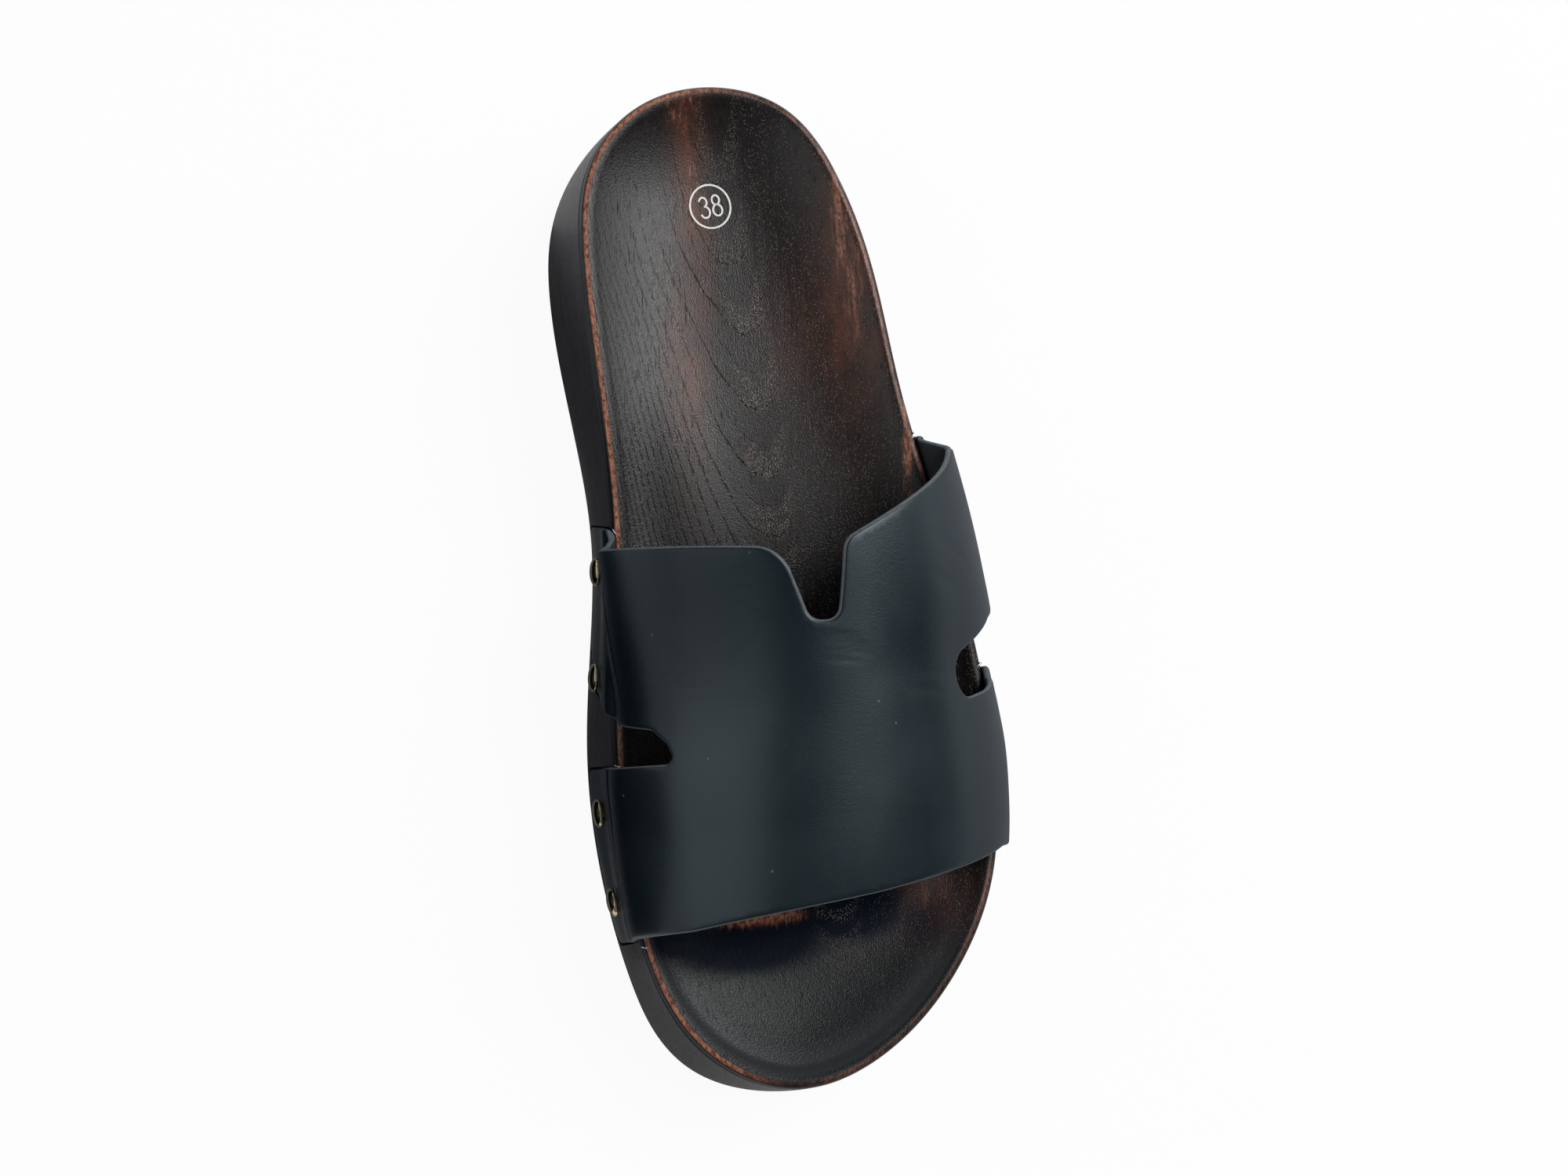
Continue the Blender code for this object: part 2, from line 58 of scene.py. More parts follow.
camera_data = bpy.data.cameras.new("camera")
camera_data.lens = LENS_MM
camera_data.sensor_width = SENSOR_MM
camera_data.clip_start = NEAREST
camera_data.clip_end = FARTHEST
camera = add_object("camera", camera_data)
towards_eye = (EYE - LOOK_AT).normalized()
view_right = VIEW_TOP.cross(towards_eye).normalized()
view_up = towards_eye.cross(view_right)
turn = Matrix((view_right, view_up, towards_eye)).transposed()
camera.matrix_world = Matrix.Translation(EYE) @ turn.to_4x4()
bpy.context.scene.camera = camera

# --- sole -------------------------------------------------
# One moulded platform sole with its footbed in it: dark foam with a wood grain pressed into it, its
# rim burnished to copper and a parting line round the top of the side wall. The band's legs are let
# into it.

MM = 0.001
HEEL_SEAT = 40.0  # from the back of the rim to the origin

# across, along, flare
OUTLINE = (
    (0, 0, 7), (20, 5, 7), (33, 19.5, 7.2), (36.8, 45, 7), (34.6, 80, 5), (32.7, 112, 3.8),
    (33.6, 142, 4.8), (35, 170, 5.8), (33.4, 204, 5.2), (28.4, 229.5, 4.6), (16.5, 248.7, 6),
    (-5, 258.8, 2.8), (-30, 251.3, 3.6), (-50, 232.3, 3.6), (-60.6, 212, 4), (-64.4, 184, 4.4),
    (-61.4, 151, 4.4), (-53.9, 117, 4.2), (-45, 84, 5), (-38.4, 47, 6.4), (-32.3, 27, 6.8),
    (-18.5, 6, 7),
)
# along, rim height, cup depth, steepness of the cup's wall
HEIGHTS = (
    (0, 50, 7, 2.6), (40, 49.5, 8, 2.6), (80, 46.5, 6, 3), (120, 40.5, 4.5, 4), (160, 36, 4, 5),
    (200, 34, 4.5, 5), (232, 35.5, 4, 2.8), (259, 39, 3.6, 2.4),
)
# height share, flare share, inset
WALL = (
    (0.00, 0.82, 4), (0.02, 0.88, 1.6), (0.07, 0.96, 0.2), (0.15, 1.00, 0), (0.30, 0.94, 0),
    (0.50, 0.75, 0), (0.70, 0.48, 0), (0.87, 0.21, 0), (1.00, 0.00, 0),
)
# inset, rise of the bead on the rim
BEAD = ((0, 0), (0.5, 0.8), (1.6, 1.3), (3, 0.9), (4.4, 0))
BEAD_WIDTH = 4.4
# along, across of the line that the footbed and the tread close on
SPINE = ((34, 0), (90, -6), (150, -13), (185, -15), (224, -12))
OUTLINE_POINTS = 440
SPLINE_STEPS = 60
BED_RINGS = 34
BEAD_RINGS = 11
TREAD_RINGS = 12
INNER_SHARE = 0.035  # of the last ring round the middle line
TREAD_SHARE = 0.97  # of the first ring inside the wall's foot
FOOT_SHARES = (0.0, 0.008, 0.02, 0.035, 0.055, 0.08, 0.11, 0.15)  # height shares of the wall's rings
WALL_SHARES = (0.19, 0.94, 20)  # first, last, count
RIM_SHARES = (0.945, 1.0, 12)
SHARP_OVER = 40.0  # degrees between faces
PARTING_HEIGHT = 1.3  # of the parting groove below the rim
PARTING_DEPTH = 0.45
PARTING_WIDTH = 0.32
PARTING_WALL = 40.0  # height of the wall that the groove is set out on
ARCH_HEIGHT = 3.5
ARCH_ALONG = (80.0, 150.0)
TOE_SPRING = 8.0
SPRING_ALONG = (200.0, 262.0)
SPRING_CURVE = 1.8
ARCH_SUPPORT = 4.0
ARCH_SUPPORT_ALONG = 108.0
ARCH_SUPPORT_LENGTH = 26.0
ARCH_SUPPORT_ACROSS = (-8.0, 28.0)
TOE_BAR_HEIGHT = 3.2
TOE_BAR_ALONG = 212.0
TOE_BAR_WIDTH = 7.0
TOE_BAR_SLANT = 0.16
BED_FADE = 0.62
TREAD_RECESS = 0.9  # of the tread's ground above the tips of its ribs
TREAD_BORDER = 7.0
TREAD_STEP = 1.2  # width of the step from the border to the recess

# The wood's grain: the line its long pointed arches lie on, and where their tips are.
# along, across
GRAIN_AXIS = (
    (0, -0.5), (45, -2.4), (65, -5.8), (85, -7.2), (102, -8.6), (120, -9.4), (150, -12.5),
    (190, -17), (231, -21.3), (260, -23),
)
ARCH_TIPS = (24.0, 45.8, 64.2, 84.8, 102.4, 118.0)  # along
HEEL_STRETCH = 0.45  # the arches are drawn out at the heel
TOE_STRETCH = 0.009  # and blunter towards the toe
ARCH_SLOPE = 0.55  # of an arch's sides beside its tip, in lengths along for each length across
ARCH_ROUND = 1.6
ARCH_BEND = 0.078  # how fast the sides steepen away from the tip
LATERAL_STRAIGHT = 0.35  # how fast the grain runs straight on the lateral side
LATERAL_FROM = -4.0  # across from the axis
MEDIAL_STRAIGHT = 0.075  # and on the medial side
MEDIAL_FROM = 8.0
NEXT_LINE = 14.7  # between lines past the last tip
HEEL_END = (60.0, 20.0)  # along, where the heel's own finish begins and where it is full
TOE_END = (205.0, 235.0)
BED_REACH = 14.0  # lowest part of the bed below the rim
PATCH_SPREAD = 0.9
POINTS_AT_ONCE = 4000
PORE_SIDE = (-7.0, 0.0)  # off the arches' axis
PLAIN_SIDE = (8.0, 14.0)
PLAIN_END = (78.0, 103.0)  # along, where the plain side grows less plain
PLAIN_LESS = 0.6
FEWER_PLAIN = 0.68  # share of the pore lines that the plain side goes without
FEWER_HEEL = 0.35
FEWER_TOE = 0.85
MEDIAL_SIDE = (-12.0, 12.0)  # across
# Where the bead's copper is held back and it stays dark: none to full across, none to full along
# and, from the toe's side, none to full along, strength
DARK_BEAD = (
    (-12, -36, 95, 120, 212, 200, 1),
    (-16, -36, 205, 235, 300, 290, 0.55),
    # Painted shade: the bead darkened all round beside the medial cut-out.
    (-90, -80, 150, 156, 184, 178, 0.55),
)
TOE_GAP = 0.85  # of the bead's copper, at the middle of the toe
TOE_GAP_ACROSS = (-4.0, 9.0)
TOE_GAP_ALONG = (248.0, 252.0)

# Where the dark finish is rubbed through to copper: across, along, half width, half length, strength
RUBBED = (
    (8.5, 3.5, 5, 7, 0.30),
    (6.5, 24, 2.2, 18, 0.22),
    (-31.2, 36, 2, 16, 0.46),
    (-33.6, 55, 2, 13, 0.40),
    (-45.3, 97, 1.3, 15, 0.60),
    (1, 216, 12, 1.9, 0.9),
    (-45, 212, 6.5, 8, 0.14),
)
# Where the brown shows redder: across, along, half width, half length, strength
REDDISH = (
    (-33, 58, 8, 26, 0.9),
    (-22, 66, 12, 18, 0.3),
    (7, 28, 4, 34, 1),
    (10.5, 72, 5, 22, 0.85),
    (-30, 40, 4, 26, 0.70),
    (-45, 213, 8, 8, 0.8),
)
# Painted shadow of the band's front edge on the toe bed: across, along, half width, half length,
# strength
PAINTED_SHADOW_AND_DARK_TOE = (
    (4, 221.5, 26, 10.5, 1),
    (-22, 216, 20, 9.5, 1),
    (20, 220, 11, 6.5, 1),
    # The last row darkens the lateral side of the toe in the same way.
    (-42, 219, 12, 13, 0.62),
)


def table_value(rows, along, column):
    """One column of a table at each place in along, on smooth curves through its rows."""
    rows = np.array(rows)
    at = rows[:, 0]
    values = rows[:, column]
    slopes = np.gradient(values, at)
    along = np.clip(along, at[0], at[-1])
    k = np.clip(np.searchsorted(at, along) - 1, 0, len(at) - 2)
    step = at[k + 1] - at[k]
    t = (along - at[k]) / step
    rise = (2 * t**3 - 3 * t**2 + 1) * values[k] + (3 * t**2 - 2 * t**3) * values[k + 1]
    bend = (t**3 - 2 * t**2 + t) * slopes[k] + (t**3 - t**2) * slopes[k + 1]
    return rise + bend * step


def ease(t):
    """0 to 1 with a level start and end."""
    t = np.clip(t, 0.0, 1.0)
    return t * t * (3 - 2 * t)


def share_of(value, start, end):
    """0 up to start and 1 from end on, which may be the lower one, with a straight line between."""
    return np.clip((value - start) / (end - start), 0.0, 1.0)


def ramp(value, start, end):
    return ease(share_of(value, start, end))


def hump(value, middle, width):
    """1 in the middle, fading smoothly to both sides."""
    return np.exp(-(((value - middle) / width) ** 2))


def unit(vectors):
    return vectors / np.linalg.norm(vectors, axis=-1, keepdims=True)


def closed_outline(rows, count):
    """Points evenly spaced along the periodic cubic spline through the rows."""
    rows = np.array(rows)
    ahead = np.roll(rows, -1, axis=0)
    chord = np.linalg.norm((ahead - rows)[:, :2], axis=1)
    before = np.roll(chord, 1)
    slope = (ahead - rows) / chord[:, None]
    system = np.diag(2 * (before + chord))
    for i in range(len(rows)):
        system[i, (i + 1) % len(rows)] += chord[i]
        system[i, i - 1] += before[i]
    bend = np.linalg.solve(system, 6 * (slope - np.roll(slope, 1, axis=0)))
    pieces = []
    for a, b, bend_a, bend_b, span in zip(rows, ahead, bend, np.roll(bend, -1, axis=0), chord):
        done = np.linspace(0, span, SPLINE_STEPS, endpoint=False)[:, None]
        left = span - done
        straight = (a / span - bend_a * span / 6) * left + (b / span - bend_b * span / 6) * done
        pieces.append((bend_a * left**3 + bend_b * done**3) / (6 * span) + straight)
    loop = np.concatenate([*pieces, pieces[0][:1]])
    steps = np.linalg.norm(np.diff(loop[:, :2], axis=0), axis=1)
    length = np.concatenate([[0], np.cumsum(steps)])
    even = np.linspace(0, length[-1], count, endpoint=False)
    return np.column_stack([np.interp(even, length, column) for column in loop.T])


def outward(points):
    """Unit normals of a closed outline that runs anticlockwise."""
    tangent = np.roll(points, -1, axis=0) - np.roll(points, 1, axis=0)
    return unit(np.column_stack([tangent[:, 1], -tangent[:, 0]]))


def tread_height(along):
    """The underside: level under heel and ball, raised under the waist and sprung at the toe."""
    waist = np.sin(np.pi * share_of(along, *ARCH_ALONG)) ** 2
    return ARCH_HEIGHT * waist + TOE_SPRING * share_of(along, *SPRING_ALONG) ** SPRING_CURVE


def bed_height(across, along, share):
    """The footbed. Share is 1 where it leaves the rim's bead and 0 on the middle line."""
    cup = table_value(HEIGHTS, along, 2) * (1 - share ** table_value(HEIGHTS, along, 3))
    arch = ARCH_SUPPORT * hump(along, ARCH_SUPPORT_ALONG, ARCH_SUPPORT_LENGTH)
    arch *= ramp(across, *ARCH_SUPPORT_ACROSS)
    bar = TOE_BAR_HEIGHT * hump(along, TOE_BAR_ALONG + TOE_BAR_SLANT * across, TOE_BAR_WIDTH)
    return table_value(HEIGHTS, along, 1) - cup + ease((1 - share) / BED_FADE) * (arch + bar)


def to_spine(points, share):
    """Points moved towards the middle line, with share 1 leaving them where they are."""
    along = np.clip(points[:, 1], SPINE[0][0], SPINE[-1][0])
    centre = np.column_stack([table_value(SPINE, along, 1), along])
    return centre + (points - centre) * share


def join_rings(first, second, count, closed=True):
    """Quads between two rings of points, each given by its first point."""
    faces = []
    for i in range(count if closed else count - 1):
        j = (i + 1) % count
        faces.append((first + i, first + j, second + j, second + i))
    return faces


def ring_faces(count, rings, first=0):
    """Quads between each ring of points and the one after it."""
    faces = []
    for row in range(first, first + (rings - 1) * count, count):
        faces += join_rings(row, row + count, count)
    return faces


def strip_faces(first, count, up):
    """Closes a long thin ring across its width, point by point from the heel."""
    faces = [(first, first + 1, first + count - 1)]
    half = count // 2
    for i in range(1, half - 1):
        faces.append((first + i, first + i + 1, first + count - i - 1, first + count - i))
    faces.append((first + half - 1, first + half, first + half + 1))
    return faces if up else [face[::-1] for face in faces]


def smooth(mesh, sharp_over=SHARP_OVER):
    mesh.shade_smooth()
    mesh.set_sharp_from_angle(angle=np.radians(sharp_over))


def new_mesh(name, points, faces):
    mesh = bpy.data.meshes.new(name)
    mesh.from_pydata(points, [], faces)
    return mesh


def new_piece(name, points, faces, sharp_over=SHARP_OVER):
    """A smooth-shaded object from points in millimetres, measured along from the back of the rim."""
    placed = (np.asarray(points) - (0.0, HEEL_SEAT, 0.0)) * MM
    mesh = new_mesh(name, placed.tolist(), faces)
    smooth(mesh, sharp_over)
    return add_object(name, mesh)


rim_line = closed_outline(OUTLINE, OUTLINE_POINTS)
rim_normal = outward(rim_line)
foot_line = rim_line[:, :2] + rim_normal * (rim_line[:, 2:] * WALL[0][1] - WALL[0][2])


def sole_rings():
    """The sole's points ring by ring: tread, side wall, bead and footbed."""
    rim = rim_line[:, :2]
    crest = table_value(HEIGHTS, rim[:, 1], 1)
    rings = []
    for share in np.linspace(INNER_SHARE, TREAD_SHARE, TREAD_RINGS):
        flat = to_spine(foot_line, share)
        inside = np.linalg.norm(foot_line - flat, axis=1)
        recess = TREAD_RECESS * ramp(inside, TREAD_BORDER - TREAD_STEP, TREAD_BORDER)
        rings.append(np.column_stack([flat, tread_height(flat[:, 1]) + recess]))
    parting = 1 - PARTING_HEIGHT / PARTING_WALL
    for share in np.concatenate([FOOT_SHARES, np.linspace(*WALL_SHARES), np.linspace(*RIM_SHARES)]):
        flare = rim_line[:, 2:] * table_value(WALL, share, 1)
        inset = np.maximum(table_value(WALL, share, 2), 0.0)
        groove = PARTING_DEPTH * hump(share, parting, PARTING_WIDTH / PARTING_WALL)
        flat = rim + rim_normal * (flare - inset - groove)
        low = tread_height(flat[:, 1])
        rings.append(np.column_stack([flat, low + (crest - low) * share]))
    for inset in np.linspace(0.0, BEAD_WIDTH, BEAD_RINGS + 1)[1:]:
        rings.append(np.column_stack([rim - rim_normal * inset, crest + table_value(BEAD, inset, 1)]))
    for share in np.linspace(1.0, INNER_SHARE, BED_RINGS + 1)[1:]:
        flat = to_spine(rim - rim_normal * BEAD_WIDTH, share)
        rings.append(np.column_stack([flat, bed_height(flat[:, 0], flat[:, 1], share)]))
    return rings


def make_sole():
    rings = sole_rings()
    faces = strip_faces(0, OUTLINE_POINTS, up=False)
    faces += ring_faces(OUTLINE_POINTS, len(rings))
    faces += strip_faces((len(rings) - 1) * OUTLINE_POINTS, OUTLINE_POINTS, up=True)
    return new_piece("platform_sole", np.concatenate(rings), faces)


sole = make_sole()

# The band's own shape comes here, because its legs are let into the side wall.

LEATHER = 2.0
GAP = 0.3
CREST = 78.0  # girth from the band's middle line to its widest line, just above the rim
RIM_PIN = 88.0
LEG_END = 116.0
LEG_HEIGHT = 8.0
PIN_DROP = 0.5
PIN_OUT = 0.2
PIN_DOWN = 0.9
SEAT_FADE = 0.45
SEAT_OPEN = 6.0
WALL_POINTS = 900
SEAT_SPACING = 1.2
SEAT_GRID = 3.0
SEAT_CLEAR = 1.4
CORNER_SHARE = 0.48  # of an edge that a rounded corner may use up
# along, top, medial bulge, lateral bulge, neck
SECTIONS = (
    (88, 97, 5.4, 7.4, 5.5), (112, 93.5, 5, 6.5, 5.5), (130, 90, 3.4, 5.4, 5),
    (146, 86.5, 1.6, 4.4, 3.5), (158, 84, 0.2, 1.8, 2.7), (166, 82.3, 0, 2, 2.6),
    (174, 80.7, 1.9, 2.5, 2.2), (190, 77.5, 2.4, 2.5, 2.2), (213, 73, 2.4, 2.7, 2.4),
    (225, 70.5, 2.4, 2.7, 2.4),
)
# How far the leather tucks in over the rim on the medial side before it turns down the wall.
# along, tuck
TUCK = ((88, 1.8), (117, 1.8), (126, 1.6), (136, 0.5), (146, 0), (225, 0))
TUCK_PLACE = 0.8  # power that sets it near the rim
TUCK_LIFT = 0.2  # rise over the rim, against the tuck
MEDIAL_LEAN = 1.1
LATERAL_LEAN = 1.45
# girth (medial is positive), along, corner radius
PATTERN = (
    (116, 107.8, 4), (88.5, 114, 4), (83.5, 116.9, 3), (80, 118.6, 1.5), (77.6, 120.2, 1.5),
    (9.6, 127.9, 9), (4.9, 145.4, 3.6), (-1.6, 145.4, 3.4), (-6, 126.8, 6), (-62, 100.4, 30),
    (-77, 98.7, 10), (-88, 94.2, 20), (-116, 88, 4), (-116, 119, 6), (-106, 132.5, 10),
    (-80, 139.8, 8), (-60, 144, 12), (-36.7, 154.4, 7), (-36.9, 165.2, 5), (-54, 162.4, 14),
    (-78, 157.8, 20), (-89, 154.8, 8), (-116, 153, 3), (-116, 201, 4), (-60, 201.8, 40),
    (-10, 210.3, 80), (40, 216.9, 60), (116, 220.6, 4), (116, 173.9, 3), (60, 175.9, 20),
    (42.6, 176.3, 1.8), (41, 174.8, 1.2), (43.6, 171.6, 3), (50.6, 167.8, 8), (70, 165.4, 14),
    (88, 161.4, 8), (106, 154, 10), (116, 140.5, 6),
)


def two_sides(line):
    """An outline's medial side (1) and lateral side (-1), both from heel to toe."""
    toe = int(np.argmax(line[:, 1]))
    return {1: line[: toe + 1], -1: line[toe:][::-1]}


wall_edges = two_sides(closed_outline(OUTLINE, WALL_POINTS))


def wall_edge(side, along, column):
    """The rim's place across (column 0) or its flare (column 2). Side is 1 medial, -1 lateral."""
    rows = wall_edges[side]
    return np.interp(along, rows[:, 1], rows[:, column])


def wall_across(side, along, share, stand_off):
    """The side wall's place at a height share, moved out by stand_off square to the outline."""
    slope = (wall_edge(side, along + 1, 0) - wall_edge(side, along - 1, 0)) / 2
    swell = table_value(WALL, share, 1) * wall_edge(side, along, 2)
    return wall_edge(side, along, 0) + side * (swell + stand_off) * np.sqrt(1 + slope**2)


def band_surface(flat):
    """Points of the band's inner face, from girth and along on the flat band."""
    girth = flat[:, 0]
    along = flat[:, 1]
    rim = table_value(HEIGHTS, along, 1)
    neck = rim + table_value(SECTIONS, along, 4)
    crest = {}
    for side, column in ((1, 2), (-1, 3)):
        crest[side] = wall_across(side, along, 1.0, table_value(SECTIONS, along, column) - LEATHER)
    turned = np.pi / 2 * (1 - np.clip(girth / CREST, -1, 1))
    across = (crest[1] + crest[-1]) / 2 + (crest[1] - crest[-1]) / 2 * np.cos(turned)
    lean = (MEDIAL_LEAN + LATERAL_LEAN) / 2 + (MEDIAL_LEAN - LATERAL_LEAN) / 2 * np.cos(turned)
    rise = np.clip(np.sin(turned), 0, 1) ** lean
    height = neck + (table_value(SECTIONS, along, 1) - LEATHER - neck) * rise
    low = tread_height(along)
    pin_height = rim - PIN_DROP
    reach = neck - pin_height
    for side in (1, -1):
        down = side * girth
        fall = np.maximum((down - RIM_PIN) / (LEG_END - RIM_PIN), 0)
        z = pin_height + (LEG_HEIGHT - pin_height) * fall
        share = (z - low) / (rim - low)
        let_in = GAP - (LEATHER + GAP) * ease((1 - share) / SEAT_FADE)
        x = wall_across(side, along, share, let_in)
        t = np.clip((down - CREST) / (RIM_PIN - CREST), 0, 1)
        at_pin = reach * (t**3 - t**2)
        neck_x = crest[side] + (x - crest[side]) * ease(t) + side * PIN_OUT * at_pin
        neck_z = neck - reach * (ease(t) + t**3 - 2 * t**2 + t) - PIN_DOWN * at_pin
        if side == 1:
            tuck = table_value(TUCK, along, 1) * np.sin(np.pi * t**TUCK_PLACE)
            neck_x -= tuck
            neck_z += TUCK_LIFT * tuck
        where = ((down > CREST) & (down <= RIM_PIN), down > RIM_PIN)
        across = np.select(where, (neck_x, x), across)
        height = np.select(where, (neck_z, z), height)
    return np.column_stack([across, along, height])


def band_normal(flat):
    """Outward unit normals of the band."""
    step = 0.25
    over = band_surface(flat + (step, 0.0)) - band_surface(flat - (step, 0.0))
    forward = band_surface(flat + (0.0, step)) - band_surface(flat - (0.0, step))
    return unit(np.cross(over, forward))


def rounded(corners, spacing, grow=0.0):
    """The closed outline of the flat band, sampled at a spacing. Grow moves it out all round."""
    corners = np.array(corners)
    flat = corners[:, :2]
    points = []
    for i, here in enumerate(flat):
        back = flat[i - 1] - here
        on = flat[(i + 1) % len(flat)] - here
        longest = CORNER_SHARE * min(np.linalg.norm(back), np.linalg.norm(on))
        back = unit(back)
        on = unit(on)
        half = np.arccos(np.clip(back @ on, -1, 1)) / 2
        reach = min(corners[i, 2] / np.tan(half), longest)
        radius = reach * np.tan(half)
        centre = here + unit(back + on) * radius / np.sin(half)
        start = here + back * reach - centre
        end = here + on * reach - centre
        angle = np.arctan2(start[0] * end[1] - start[1] * end[0], start @ end)
        steps = max(3, int(np.ceil(abs(angle) * radius / spacing)) + 1)
        turned = np.linspace(0, angle, steps)
        square = (-start[1], start[0])
        points += list(centre + np.outer(np.cos(turned), start) + np.outer(np.sin(turned), square))
    filled = []
    for here, after in zip(points, points[1:] + points[:1]):
        count = max(1, int(round(np.linalg.norm(after - here) / spacing)))
        filled += [here + (after - here) * k / count for k in range(count)]
    filled = np.array(filled)
    return filled - outward(filled) * grow


def grid_inside(outline, spacing, clear):
    """Points of a grid within the outline that keep clear of it."""
    low = outline.min(axis=0)
    high = outline.max(axis=0)
    girths = np.arange(low[0], high[0], spacing)
    alongs = np.arange(low[1], high[1], spacing)
    grid = np.stack(np.meshgrid(girths, alongs, indexing="ij"), axis=-1).reshape(-1, 2)
    crossings = np.zeros(len(grid), int)
    nearest = np.full(len(grid), np.inf)
    for a, b in zip(outline, np.roll(outline, -1, axis=0)):
        if a[1] != b[1]:
            spans = (a[1] > grid[:, 1]) != (b[1] > grid[:, 1])
            meets = a[0] + (grid[:, 1] - a[1]) * (b[0] - a[0]) / (b[1] - a[1])
            crossings += spans & (grid[:, 0] < meets)
        nearest = np.minimum(nearest, np.abs(grid - (a + b) / 2).max(axis=1))
    return grid[(crossings % 2 == 1) & (nearest > clear)]


def filled_outline(outline, spacing, clear):
    """Points and triangles that fill a closed outline on the flat band, outline points first."""
    flat = np.vstack([outline, grid_inside(outline, spacing, clear)])
    edges = [(i, (i + 1) % len(outline)) for i in range(len(outline))]
    found = geometry.delaunay_2d_cdt([Vector(p) for p in flat], edges, [], 1, 1e-6)
    flat = np.array([tuple(p) for p in found[0]])
    faces = np.array(found[2])
    a, b, c = flat[faces[:, 0]], flat[faces[:, 1]], flat[faces[:, 2]]
    signed = (b - a)[:, 0] * (c - a)[:, 1] - (b - a)[:, 1] * (c - a)[:, 0]
    faces[signed < 0] = faces[signed < 0][:, ::-1]
    return flat, faces


def apply_modifiers(piece):
    """Keeps a piece's mesh as its modifiers make it."""
    graph = bpy.context.evaluated_depsgraph_get()
    made = bpy.data.meshes.new_from_object(piece.evaluated_get(graph))
    piece.modifiers.clear()
    piece.data = made


def cut_strap_seats():
    """Lets the band's legs into the side wall, with a gap all round."""
    outline = rounded(PATTERN, SEAT_SPACING, GAP)
    flat, faces = filled_outline(outline, SEAT_GRID, SEAT_CLEAR)
    normal = band_normal(flat)
    place = band_surface(flat)
    points = np.vstack([place - normal * GAP, place + normal * SEAT_OPEN])
    shell = (faces + len(flat)).tolist() + faces[:, ::-1].tolist()
    shell += join_rings(len(flat), 0, len(outline))
    cutter = new_piece("strap_seats", points, shell)
    cut = sole.modifiers.new("strap_seats", "BOOLEAN")
    cut.operation = "DIFFERENCE"
    cut.object = cutter
    cut.solver = "MANIFOLD"
    apply_modifiers(sole)
    bpy.data.objects.remove(cutter)
    smooth(sole.data)


cut_strap_seats()


def rim_inset(points):
    """How far inside the rim's outline each point lies, seen from above. Outside it is negative."""
    found = []
    for part in np.array_split(points, len(points) // POINTS_AT_ONCE + 1):
        away = part[:, None, :2] - rim_line[:, :2]
        distance = np.linalg.norm(away, axis=2)
        near = distance.argmin(axis=1)
        row = np.arange(len(near))
        side = -np.sign((away[row, near] * rim_normal[near]).sum(axis=1))
        found.append(side * distance[row, near])
    return np.concatenate(found)


def grain_field(across, along):
    """The pressed grain: its lines are at whole numbers of the first value returned. The second is
    the place across from the arches' axis."""
    start = ARCH_TIPS[0]

    def stretched(at):
        return HEEL_STRETCH * (at - start) + TOE_STRETCH / 2 * (at - start) ** 2

    off = across - table_value(GRAIN_AXIS, along, 1)
    pace = HEEL_STRETCH + TOE_STRETCH * np.maximum(along - start, 0)
    field = stretched(along) + ARCH_SLOPE * pace * (np.sqrt(off**2 + ARCH_ROUND**2) - ARCH_ROUND)
    field += ARCH_BEND * off**2
    field += LATERAL_STRAIGHT * np.minimum(off - LATERAL_FROM, 0) ** 2
    field += MEDIAL_STRAIGHT * np.maximum(off - MEDIAL_FROM, 0) ** 2
    tips = stretched(np.array(ARCH_TIPS))
    lines = np.interp(field, tips, np.arange(len(tips)))
    lines += np.maximum(field - tips[-1], 0) / NEXT_LINE
    lines += np.minimum(field - tips[0], 0) / NEXT_LINE
    return lines, off


def patches(table, points):
    """Soft-edged patches listed in a table, strongest where they meet."""
    found = np.zeros(len(points))
    for x, y, half_width, half_length, strength in table:
        reach = ((points[:, 0] - x) / half_width) ** 2 + ((points[:, 1] - y) / half_length) ** 2
        found = np.maximum(found, strength * np.exp(-reach * PATCH_SPREAD))
    return found


def give_attributes(mesh, **values):
    """Writes a number on each of a mesh's points, under each name."""
    for name, numbers in values.items():
        made = mesh.attributes.new(name, "FLOAT", "POINT")
        made.data.foreach_set("value", np.asarray(numbers, np.float32))


